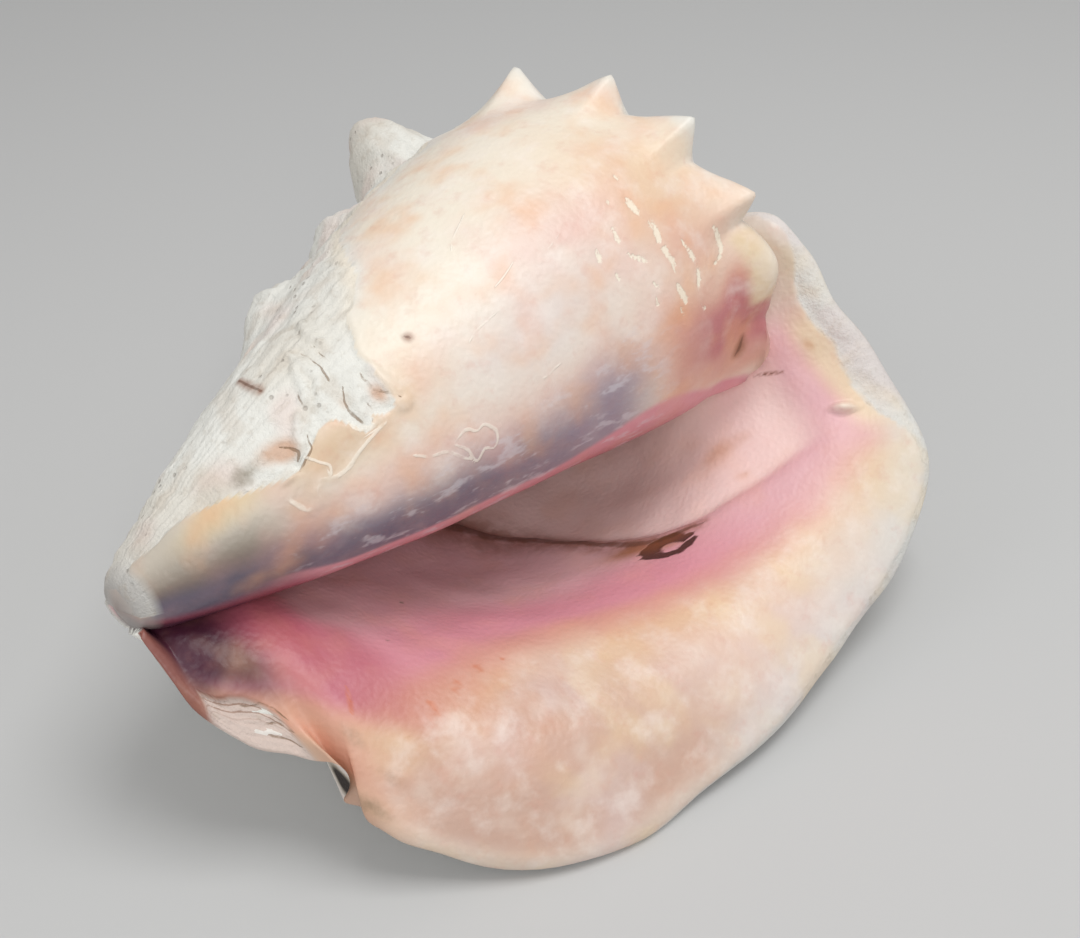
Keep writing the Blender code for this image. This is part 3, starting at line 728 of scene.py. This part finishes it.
# Lay it on the floor: apex to +X, aperture up, lip to -Y and downwards
roll = math.radians(growth["lipRoll"])
attitude = np.array([
    (0, 0, 1),
    (-math.cos(roll), math.sin(roll), 0),
    (-math.sin(roll), -math.cos(roll), 0),
])
lying = place @ attitude.T
shellLow, shellHigh = lying.min(0), lying.max(0)
cadMiddle = (np.array(cadBox[0]) + np.array(cadBox[1])) / 2
seat = cadMiddle - (shellLow + shellHigh) / 2
seat[2] = -shellLow[2] - growth["restWear"]
laid = lying + seat
laid[:, 2] = np.maximum(laid[:, 2], 0.0)
shellMesh.vertices.foreach_set("co", laid.astype(np.float32).ravel())
shellMesh.update()


def toFloor(point):
    return attitude @ np.asarray(point, float) + seat


def paint(red, green, blue):
    # a colour as seen, from 0 to 255, turned into light
    seen = np.array([red, green, blue]) / 255
    return np.where(seen <= 0.04045, seen / 12.92, ((seen + 0.055) / 1.055) ** 2.4)


# Broad colours, washed over each other
wash = {
    "chalk": paint(234, 233, 226),
    "bone": paint(210, 198, 180),
    "tan": paint(190, 168, 144),
    "cream": paint(243, 233, 216),
    "peach": paint(234, 200, 162),
    "salmon": paint(220, 162, 142),
    "pink": paint(222, 152, 164),
    "petal": paint(236, 204, 204),
    "rose": paint(184, 92, 108),
    "maroon": paint(76, 32, 52),
    "rust": paint(158, 96, 84),
    "terracotta": paint(202, 132, 108),
    "olive": paint(120, 88, 72),
    "lavender": paint(150, 136, 154),
    "slate": paint(98, 92, 112),
    "ivory": paint(236, 222, 208),
    "milk": paint(228, 213, 208),
    "blush": paint(230, 192, 182),
    "clay": paint(192, 148, 128),
    "honey": paint(222, 196, 142),
    "sand": paint(230, 206, 172),
    "butter": paint(238, 218, 182),
    "hollow": paint(250, 222, 216),
    "stone": paint(114, 102, 90),
    "ash": paint(178, 174, 170),
    "white": paint(224, 223, 218),
    "flake": paint(214, 196, 186),
    "ochre": paint(158, 104, 62),
}

tint = np.empty((len(place), 3))
tint[:] = wash["chalk"]


def washOver(mask, name):
    global tint
    mask = np.clip(mask, 0, 1)[:, None]
    tint = tint * (1 - mask) + wash[name] * mask


def blob(alongAt, shareAt, alongSize, shareSize):
    return np.exp(-((along - alongAt) / alongSize) ** 2 - ((share - shareAt) / shareSize) ** 2)


def band(values, low, high, fade):
    return ease(low - fade, low + fade, values) * (1 - ease(high - fade, high + fade, values))


# Patches in the glaze: turn, share, the size of both, strength and colour
glazePatches = (
    (274, 0.33, 28, 0.12, 0.9, "peach"),
    (292, 0.30, 14, 0.09, 0.7, "salmon"),
    (268, 0.45, 14, 0.09, 0.6, "blush"),
    (288, 0.56, 17, 0.17, 0.8, "milk"),
    (282, 0.79, 14, 0.05, 0.85, "peach"),
    (278, 0.70, 12, 0.04, 0.6, "peach"),
    (284, 0.78, 14, 0.06, 0.45, "tan"),
)

# Where the whorl's glazed side turns under, as (share, turn)
underLine = (
    (-1.0, 345), (0.0, 345), (0.17, 345), (0.24, 348), (0.30, 346), (0.39, 340), (0.468, 338), (0.529, 341.5),
    (0.584, 346), (0.658, 347), (0.712, 349.5), (0.784, 349.5), (0.831, 345), (0.857, 339), (0.898, 336),
    (0.943, 334), (1.0, 325),
)
soft = grain(place, 0.018, 21) * 0.6 + grain(place, 0.007, 22) * 0.4
body = (part == 0) * 1.0
inside = (part == 1) * 1.0
outside = (part == 2) * 1.0
turn = along + 8 * soft

# the bare outside: tan and pinkish blotches
bare = np.maximum(body * (found["chalk"] > 0), outside)
washOver(bare * 0.35 * ease(0.0, 0.5, grain(place, 0.03, 23)), "bone")
washOver(bare * 0.30 * ease(0.1, 0.6, grain(place, 0.011, 24)), "blush")
washOver(bare * 0.22 * ease(0.1, 0.5, grain(place, 0.006, 25)), "tan")

edgeOfGlaze = np.exp(-(found["chalk"] / 1.6) ** 2) * body * ease(0.72, 0.62, share)
washOver(bare * edgeOfGlaze * 0.9, "cream")

# the glazed side of the last whorl, from cream over peach and pink to the lavender under side, which is partly own
# colour and partly painted shade
glazed = body * (found["chalk"] < 0)
underside = along - smoothCurve(underLine, share)[:, 0]
washOver(glazed, "cream")
for turnAt, shareAt, turnSize, shareSize, strength, name in glazePatches:
    patch = np.exp(-((turn - turnAt) / turnSize) ** 2 - ((share - shareAt) / shareSize) ** 2)
    washOver(glazed * strength * patch, name)
washOver(glazed * 0.7 * band(turn, 304, 330, 10) * ease(0.30, 0.42, share), "blush")
# lavender towards the under side: partly the glaze's own colour, partly painted shade of the side facing down
washOver(glazed * 0.95 * ease(-40, -12, underside + 6 * soft) * ease(0.40, 0.52, share), "lavender")
washOver(glazed * 0.9 * band(turn, 305, 345, 7) * (1 - ease(0.38, 0.46, share)), "salmon")
washOver(glazed * 0.75 * band(turn, 312, 335, 6) * (1 - ease(0.30, 0.42, share)), "rose")
# stone grey towards the siphonal end: partly greyer glaze, partly painted shade where it faces down
washOver(glazed * 0.85 * ease(0.79, 0.90, share + 0.01 * soft) * ease(258, 312, turn), "stone")
washOver(glazed * 0.45 * ease(0.86, 0.95, share), "stone")
washOver(glazed * 0.5 * band(share, 0.84, 0.93, 0.03) * band(turn, 260, 282, 9), "honey")
# slate near the under side: partly the glaze's own colour, partly painted shade of the side facing down
washOver(glazed * 0.85 * ease(-34, -8, underside + 4 * soft) * ease(0.52, 0.72, share), "slate")
washOver(glazed * band(along + 3 * soft, 298, 321, 2) * ease(0.245, 0.225, share + 0.01 * soft), "sand")
washOver(glazed * edgeOfGlaze * 0.8, "chalk")
risen = np.linalg.norm(ornament(along, share), axis=-1)
washOver(glazed * 0.55 * ease(0.004, 0.0105, risen) * ease(0.27, 0.24, share), "cream")
whiteTip = ease(0.003, 0.010, risen) * ease(300, 262, along)
washOver(glazed * 0.85 * whiteTip, "chalk")
washOver(glazed * 0.6 * ease(0.215, 0.185, share) * ease(300, 285, along), "chalk")
washOver(glazed * ease(-2.5, 1.5, underside - 3.5 * ease(0.40, 0.55, share)) * (1 - ease(0.82, 0.90, share)), "pink")
washOver(glazed * ease(4, 26, underside), "rose")
# maroon towards the canal: the deep pink glaze, darkened as painted shade
washOver(glazed * ease(0.80, 0.92, share) * ease(6, 30, underside), "maroon")
# ash grey on the siphonal tip: painted shade
washOver(body * (found["chalk"] > 0) * 0.3 * ease(0.90, 0.99, share), "ash")
washOver(body * 0.7 * ease(0.975, 0.995, share), "ash")

# the inside of the lip: the pink band, then outwards salmon, peach, cream and the white edge
pinkWay = smoothCurve(
    ((0.0, 0.22), (0.08, 0.24), (0.16, 0.26), (0.285, 0.27), (0.31, 0.32), (0.375, 0.40), (0.47, 0.48),
     (0.556, 0.60), (0.678, 0.68), (0.75, 0.64), (0.83, 0.56), (0.90, 0.50), (1.0, 0.5)),
    share,
)[:, 0]
out = pinkWay - along + 0.03 * soft
side = ledgeSide(along, share)
low = ease(0.80, 0.88, share)
rightPart = ease(0.54, 0.38, share)
leftPart = ease(0.50, 0.64, share) * (1 - low)
washOver(inside, "pink")
washOver(inside * 0.55 * ease(0.46, 0.32, share), "petal")
washOver(inside * 0.85 * ease(0.02, 0.10, out) * (1 - 0.6 * rightPart), "salmon")
washOver(inside * 0.80 * ease(0.08, 0.20, out), "peach")
washOver(inside * 0.60 * ease(0.18, 0.32, out) * (1 - low), "blush")
washOver(inside * 0.50 * ease(0.16, 0.44, out) * (1 - low), "ivory")
washOver(inside * 0.75 * rightPart * ease(0.12, 0.26, out), "ivory")
# clay on the lower lip: darker peach as painted shade of the part facing down
washOver(inside * 0.62 * leftPart * ease(0.10, 0.28, out + 0.10 * soft), "clay")
# petal on the inner side of the pink band: painted light, a lighter base against the body's shadow
washOver(inside * 0.6 * ease(0.03, 0.25, -out) * (1 - low), "petal")
washOver(inside * (1 - ease(0.0015, 0.010, gap + 0.002 * soft)) * (1 - 0.7 * low) * 0.7, "ivory")
washOver(inside * 0.8 * low * ease(0.05, 0.25, along) * (1 - ease(0.3, 0.5, along)), "salmon")
# clay near the lower rim: darker peach as painted shade
washOver(inside * 0.7 * band(share, 0.86, 0.935, 0.015) * ease(0.22, 0.05, along), "clay")
washOver(inside * 0.9 * low * ease(0.45, 0.75, along), "rose")
washOver(inside * 0.7 * band(share, 0.78, 0.92, 0.03) * band(along, 0.45, 0.80, 0.06), "rose")
washOver(inside * 0.65 * blob(0.50, 0.765, 0.09, 0.055), "terracotta")
# maroon in the canal: the deep pink glaze, darkened as painted shade
washOver(inside * ease(0.885, 0.945, share) * ease(0.28, 0.56, along), "maroon")
washOver(inside * 0.9 * ease(0.955, 0.972, share), "maroon")
washOver(inside * 0.6 * ease(0.955, 0.968, share) * ease(0.5, 0.1, along), "rust")
washOver(outside * ease(0.974, 0.980, share) * ease(0.30, 0.15, along), "rust")
# olive in the canal: painted shade
washOver(inside * 0.5 * blob(0.58, 0.932, 0.11, 0.016), "olive")
# hollow behind the ledge: painted light, a lighter base in place of light reaching it
washOver(inside * ease(0.5, -1.5, side) * ease(0.24, 0.34, along), "hollow")
washOver(inside * ease(1.2, 1.6, along), "rose")
washOver(inside * 0.8 * band(share, 0.12, 0.275, 0.02) * ease(0.22, 0.15, along), "butter")
washOver(inside * 0.75 * ease(0.14, 0.09, share) * ease(0.32, 0.24, along), "bone")
washOver(inside * 0.7 * band(share, 0.26, 0.60, 0.03) * ease(0.17, 0.05, along + 0.05 * soft), "white")
washOver(inside * ease(-0.8, 0.6, found["chalk"]) * (1 - found["chip"]), "white")
washOver(found["chip"], "flake")
washOver(inside * 0.9 * blob(*touch["wart"], 0.022, 0.009), "cream")
washOver(inside * 0.85 * blob(0.605, 0.394, 0.045, 0.017), "ochre")

# stains, and grey-green soiling mixed with painted shade in the canal and under the hood
darkSpots = {  # places along and share, the size of both, strength
    "stainBody": (
        (268, 0.822, 7, 0.012, 1), (274, 0.728, 6, 0.008, 1), (262, 0.835, 9, 0.02, 0.6),
        (268, 0.757, 5, 0.006, 0.5), (352, 0.222, 4, 0.008, 0.5), (214, 0.17, 5, 0.03, 0.4),
    ),
    "stainLip": (
        (0.62, 0.385, 0.035, 0.012, 0.5), (0.535, 0.391, 0.070, 0.013, 0.6), (0.50, 0.26, 0.05, 0.03, 0.5),
        (0.44, 0.235, 0.06, 0.02, 0.45), (0.43, 0.30, 0.02, 0.01, 0.5), (0.72, 0.37, 0.05, 0.015, 0.35),
        (0.16, 0.152, 0.02, 0.010, 0.7), (0.96, 0.42, 0.10, 0.03, 0.4), (0.115, 0.179, 0.02, 0.012, 0.35),
    ),
    "bodyGrimeAndShade": (
        (262, 0.862, 8, 0.016, 1), (222, 0.70, 10, 0.02, 0.5), (258, 0.74, 8, 0.02, 0.4),
    ),
    "lipGrimeAndShade": (
        (0.60, 0.930, 0.10, 0.016, 0.15), (0.36, 0.86, 0.05, 0.018, 0.55), (0.26, 0.835, 0.04, 0.012, 0.5),
        (0.12, 0.862, 0.06, 0.02, 0.6), (0.85, 0.50, 0.12, 0.06, 0.35), (0.30, 0.15, 0.03, 0.02, 0.4),
    ),
}


def spots(name):
    return sum(strength * blob(*place) for *place, strength in darkSpots[name])


# painted shadow in the hollow under the hood
hoodShadow = outside * blob(0.03, 0.911, 0.08, 0.0060) + inside * blob(0.0, 0.905, 0.06, 0.0060)
stain = 0.9 * body * spots("stainBody") + inside * spots("stainLip")
grime = 0.8 * body * spots("bodyGrimeAndShade") + 1.6 * hoodShadow + inside * spots("lipGrimeAndShade")
pitAlong, pitAside = pitPlace(along, share)
pitCore = inside * (1 - ease(0.72, 1.12, np.hypot(pitAlong, pitAside)))
pitPale = inside * (1 - ease(0.28, 0.62, np.hypot(pitAlong - 0.12, pitAside)))


def addField(name, values):
    values = np.asarray(values, np.float32)
    kind = "FLOAT_COLOR" if values.ndim == 2 else "FLOAT"
    layer = shellMesh.attributes.new(name, kind, "POINT")
    if values.ndim == 2:
        values = np.concatenate([values, np.ones((len(values), 1), np.float32)], 1)
        layer.data.foreach_set("color", values.ravel())
    else:
        layer.data.foreach_set("value", values)


addField("tint", tint)
addField("chalk", found["chalk"])
addField("chip", found["chip"])
addField("body", glazed * (1 - ease(330, 345, along)) * (1 - 0.9 * whiteTip))
addField("stain", stain)
addField("grime", grime)
addField("pit", pitCore - pitPale * 0.85)
addField("under", glazed * ease(-42, -22, underside) * ease(0.35, 0.5, share) * (1 - ease(0.80, 0.9, share)))
# hole: painted shadow in the hollow under the hood
addField("hole", hoodShadow)
addField("blend", body * ease(0.70, 0.62, share))
addField("layer", (chipReach(share) - along) * found["chip"])
dark = np.maximum(ease(0.78, 0.86, share), 0.8 * ease(-34, -14, underside))
addField("cloud", 0.8 * glazed * (1 - dark) * (1 - 0.8 * whiteTip) + 0.9 * inside * ease(0.06, 0.22, out) * (1 - low))
addField("pitted", body + outside)
for name in marks:
    addField(name + "Side", found[name + "Side"])
    addField(name + "Away", found[name + "Away"])


class Shade:
    # wraps a socket, so that shader maths reads as an expression

    def __init__(self, tree, socket):
        self.tree = tree
        self.socket = socket

    def node(self, kind, settings=(), output=0, **inputs):
        made = self.tree.nodes.new(kind)
        for name, value in dict(settings).items():
            if name == "stops":
                ramp = made.color_ramp.elements
                while len(ramp) < len(value):
                    ramp.new(0.5)
                for stop, (position, colour) in zip(ramp, value):
                    stop.position = position
                    stop.color = (*colour, 1) if len(colour) == 3 else colour
            else:
                setattr(made, name, value)
        for name, value in inputs.items():
            slot = made.inputs[int(name[1:])] if name[0] == "i" and name[1:].isdigit() else made.inputs[name]
            if isinstance(value, Shade):
                self.tree.links.new(value.socket, slot)
            else:
                slot.default_value = value
        return Shade(self.tree, made.outputs[output])

    def maths(self, operation, first, second=0.0, clamp=False):
        return self.node("ShaderNodeMath", {"operation": operation, "use_clamp": clamp}, i0=first, i1=second)

    def __add__(self, other):
        return self.maths("ADD", self, other)

    def __radd__(self, other):
        return self.maths("ADD", other, self)

    def __sub__(self, other):
        return self.maths("SUBTRACT", self, other)

    def __rsub__(self, other):
        return self.maths("SUBTRACT", other, self)

    def __mul__(self, other):
        return self.maths("MULTIPLY", self, other)

    def __rmul__(self, other):
        return self.maths("MULTIPLY", other, self)

    def __truediv__(self, other):
        return self.maths("DIVIDE", self, other)

    def step(self, low, high):
        settings = {"interpolation_type": "SMOOTHSTEP", "clamp": True}
        return self.node("ShaderNodeMapRange", settings, i0=self, i1=low, i2=high, i3=0.0, i4=1.0)

    def mixed(self, other, factor):
        settings = {"data_type": "RGBA", "clamp_factor": True}
        colour = (*other, 1.0) if isinstance(other, (tuple, list, np.ndarray)) else other
        return self.node("ShaderNodeMix", settings, output=2, i0=factor, i6=self, i7=colour)


def newMaterial(name):
    material = bpy.data.materials.new(name)
    material.use_nodes = True
    return material, material.node_tree, material.node_tree.nodes["Principled BSDF"]


def shellMaterial():
    material, tree, shader = newMaterial("shell")
    base = Shade(tree, None)
    spot = base.node("ShaderNodeTexCoord", output="Object")

    def field(name, output="Fac"):
        return base.node("ShaderNodeAttribute", {"attribute_name": name}, output=output)

    def speckle(size, detail=2.0, rough=0.5, place=None):
        return base.node("ShaderNodeTexNoise", {"noise_dimensions": "3D"}, Vector=place or spot, Scale=1 / size,
                         Detail=detail, Roughness=rough)

    def stretched(scale):
        return base.node("ShaderNodeMapping", {"vector_type": "POINT"}, Vector=spot, Scale=scale)

    def line(name, wobble, half=0.8):
        # 1 on a drawn line, from its field with a side and its field without
        across = base.maths("ABSOLUTE", field(name + "Side") + wobble)
        return (1 - across.step(half * 0.6, half * 1.4)) * (1 - field(name + "Away").step(half * 1.5, half * 3))

    wide = speckle(0.016, 3.0)
    middle = speckle(0.0065, 3.0, 0.6)
    small = speckle(0.0028, 3.0, 0.6)
    tiny = speckle(0.0008, 2.0, 0.6)
    peel = speckle(0.0014, 0.0)
    wobble = (small - 0.5) * 2.2
    spread = field("blend") * 1.8 + 0.15
    bare = (field("chalk") + (small - 0.5) * 2.4).step(spread * -1.0, spread)
    glaze = 1 - bare

    colour = field("tint", "Color")

    def over(seen, strength):
        nonlocal colour
        colour = colour.mixed(paint(*seen), strength)

    # cloudy milk and warm patches in the glaze
    body = field("body")
    cloud = field("cloud")
    over((244, 234, 222), wide.step(0.50, 0.72) * 0.42 * cloud)
    over((236, 176, 128), speckle(0.013, 2.0).step(0.44, 0.78) * (0.16 + 0.30 * body) * glaze)
    over((232, 176, 170), speckle(0.019, 2.0).step(0.46, 0.76) * 0.26 * glaze * body)
    lipCloud = cloud * (1 - body)
    over((226, 206, 204), speckle(0.024, 3.0).step(0.46, 0.66) * 0.42 * lipCloud)
    drift = speckle(0.020, 3.0, 0.5, stretched((1.0, 0.6, 1.3)))
    over((240, 214, 170), drift.step(0.48, 0.70) * 0.40 * lipCloud)
    over((250, 240, 232), speckle(0.0075, 4.0, 0.55).step(0.46, 0.78) * 0.46 * cloud * glaze)
    over((212, 140, 120), speckle(0.0042, 3.0, 0.6).step(0.50, 0.80) * (0.06 + 0.16 * cloud) * glaze)
    # painted glints: pale specks along the under side
    underGlints = speckle(0.004, 3.0, 0.65, stretched((0.35, 1.0, 1.0))).step(0.53, 0.66)
    over((226, 222, 228), underGlints * field("under") * 0.42)
    # chalk: grey-brown patches from noise, painted shade for its creases, with small dark pits
    over((176, 160, 140), small.step(0.50, 0.76) * 0.28 * bare)
    pits = base.node("ShaderNodeTexVoronoi", {"feature": "F1"}, Vector=spot, Scale=1 / 0.0032, Randomness=1.0)
    pitMask = (1 - pits.step(0.10, 0.22)) * bare * field("pitted") * speckle(0.02, 1.0).step(0.45, 0.6)
    over((120, 104, 88), pitMask * 0.4)
    # stains, and soiling mixed with painted shade
    stain = (field("stain") * (0.55 + middle * 0.9)).step(0.12, 0.95)
    over((200, 136, 84), stain * 0.6)
    grime = (field("grime") * (0.4 + small * 1.2)).step(0.15, 0.95)
    over((116, 104, 78), grime * 0.7)
    hole = (field("pit") + (small - 0.5) * 0.35).step(0.30, 0.55)
    over((66, 34, 22), hole * 0.92)
    # drawn marks
    thread = line("thread", wobble * 0.4)
    crack = line("crack", wobble * 0.7, 0.38) * middle.step(0.34, 0.52)
    rise = line("rise", wobble * 0.5) * middle.step(0.38, 0.55)
    fleck = 1 - (field("fleckAway") + wobble * 0.8 + (tiny - 0.5) * 1.6).step(0.45, 1.1)
    # halo and thread: a brown stain, and on the lip, where they follow the ledge, also painted shade under its overhang
    halo = (1 - (field("threadAway") + wobble * 0.8).step(0.0, 5.5)) * (0.45 + 0.55 * middle.step(0.30, 0.55))
    over((140, 84, 56), halo * 0.75)
    over((92, 58, 36), thread * 0.55)
    over((206, 112, 68), (1 - (field("dashAway") + wobble * 0.5).step(0.2, 2.4)) * 0.6)
    over((116, 110, 84), (1 - (field("speckAway") + wobble * 0.3).step(0.6, 1.5)) * 0.75)
    over((134, 104, 76), crack * 0.7)
    layer = field("layer")
    lines = base.maths("SINE", layer * 120 + wobble * 1.5).step(0.45, 0.95)
    over((150, 112, 92), lines * field("chip") * (1 - layer.step(0.05, 0.16)) * 0.7)
    # near black in the hollow under the hood: painted shadow
    over((52, 44, 40), field("hole").step(0.45, 0.75))
    over((252, 244, 230), rise * 0.6)
    over((250, 242, 222), fleck * 0.75)
    tree.links.new(colour.socket, shader.inputs["Base Color"])

    rough = 0.40 + bare * 0.42 + (small - 0.5) * 0.2 + stain * 0.1 + fleck * 0.2
    tree.links.new(rough.socket, shader.inputs["Roughness"])
    height = (small - 0.5) * (0.12 + 0.8 * bare) + (tiny - 0.5) * (0.10 + 0.5 * bare) + rise * 0.25
    height = height - crack * 0.4 - fleck * 0.3 - hole * 0.5 - pitMask * 0.5 + (peel - 0.5) * glaze * 0.22
    shader.inputs["Specular IOR Level"].default_value = 0.42
    bump = base.node("ShaderNodeBump", {}, Height=height, Distance=0.0008, Strength=0.6)
    tree.links.new(bump.socket, shader.inputs["Normal"])
    return material


def plainMaterial(name, colour, roughness):
    material, tree, shader = newMaterial(name)
    shader.inputs["Base Color"].default_value = (*colour, 1)
    shader.inputs["Roughness"].default_value = roughness
    return material


print("conch shell: material")
shellMesh.materials.clear()
shellMesh.materials.append(shellMaterial())
shellMesh.shade_smooth()
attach(shell, "root")
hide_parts("conch_shell")

# Floor, light and camera
studio = {
    "floorSize": 16.0,
    "floorColour": (0.58, 0.58, 0.575),
    "cameraTurn": -51.6,
    "cameraLift": 37.65,
    "cameraReach": 0.3759,
    "aim": (0.0323, 0.0, 0.1018),
    "lens": 50.0,
    "sensor": 36.0,
    "lights": (
        ("key", (0.12, -0.20, 0.97), 4.3, 0.5),
        ("side", (-0.75, 0.35, 0.55), 0.9, 0.6),
        ("front", (-0.60, -0.50, 0.62), 2.2, 0.4),
        ("fill", (0.75, -0.55, 0.45), 0.8, 0.8),
    ),
    "ambient": 0.38,
}

floorMesh = bmesh.new()
bmesh.ops.create_grid(floorMesh, x_segments=1, y_segments=1, size=studio["floorSize"] / 2)
floorData = bpy.data.meshes.new("floor")
floorMesh.to_mesh(floorData)
floorMesh.free()
floor = bpy.data.objects.new("floor", floorData)
floorData.materials.append(plainMaterial("floor", studio["floorColour"], 0.85))
bpy.context.scene.collection.objects.link(floor)

aim = Vector(toFloor(studio["aim"]))
turnAngle, liftAngle = math.radians(studio["cameraTurn"]), math.radians(studio["cameraLift"])
backward = Vector((
    math.sin(turnAngle) * math.cos(liftAngle),
    -math.cos(turnAngle) * math.cos(liftAngle),
    math.sin(liftAngle),
))
camera = bpy.data.objects.new("camera", bpy.data.cameras.new("camera"))
camera.data.lens = studio["lens"]
camera.data.sensor_width = studio["sensor"]
camera.data.clip_start = 0.01
camera.location = aim + backward * studio["cameraReach"]
camera.rotation_euler = (-backward).to_track_quat("-Z", "Y").to_euler()
bpy.context.scene.collection.objects.link(camera)
bpy.context.scene.camera = camera

for lampName, lampPlace, power, size in studio["lights"]:
    lamp = bpy.data.objects.new(lampName, bpy.data.lights.new(lampName, "AREA"))
    lamp.data.energy = power
    lamp.data.size = size
    lamp.location = lampPlace
    lamp.rotation_euler = (aim - Vector(lampPlace)).to_track_quat("-Z", "Y").to_euler()
    bpy.context.scene.collection.objects.link(lamp)

bpy.context.scene.view_settings.view_transform = "Standard"

world = bpy.data.worlds.new("studio")
world.use_nodes = True
world.node_tree.nodes["Background"].inputs["Color"].default_value = (1, 1, 1, 1)
world.node_tree.nodes["Background"].inputs["Strength"].default_value = studio["ambient"]
bpy.context.scene.world = world

print("conch shell: done")
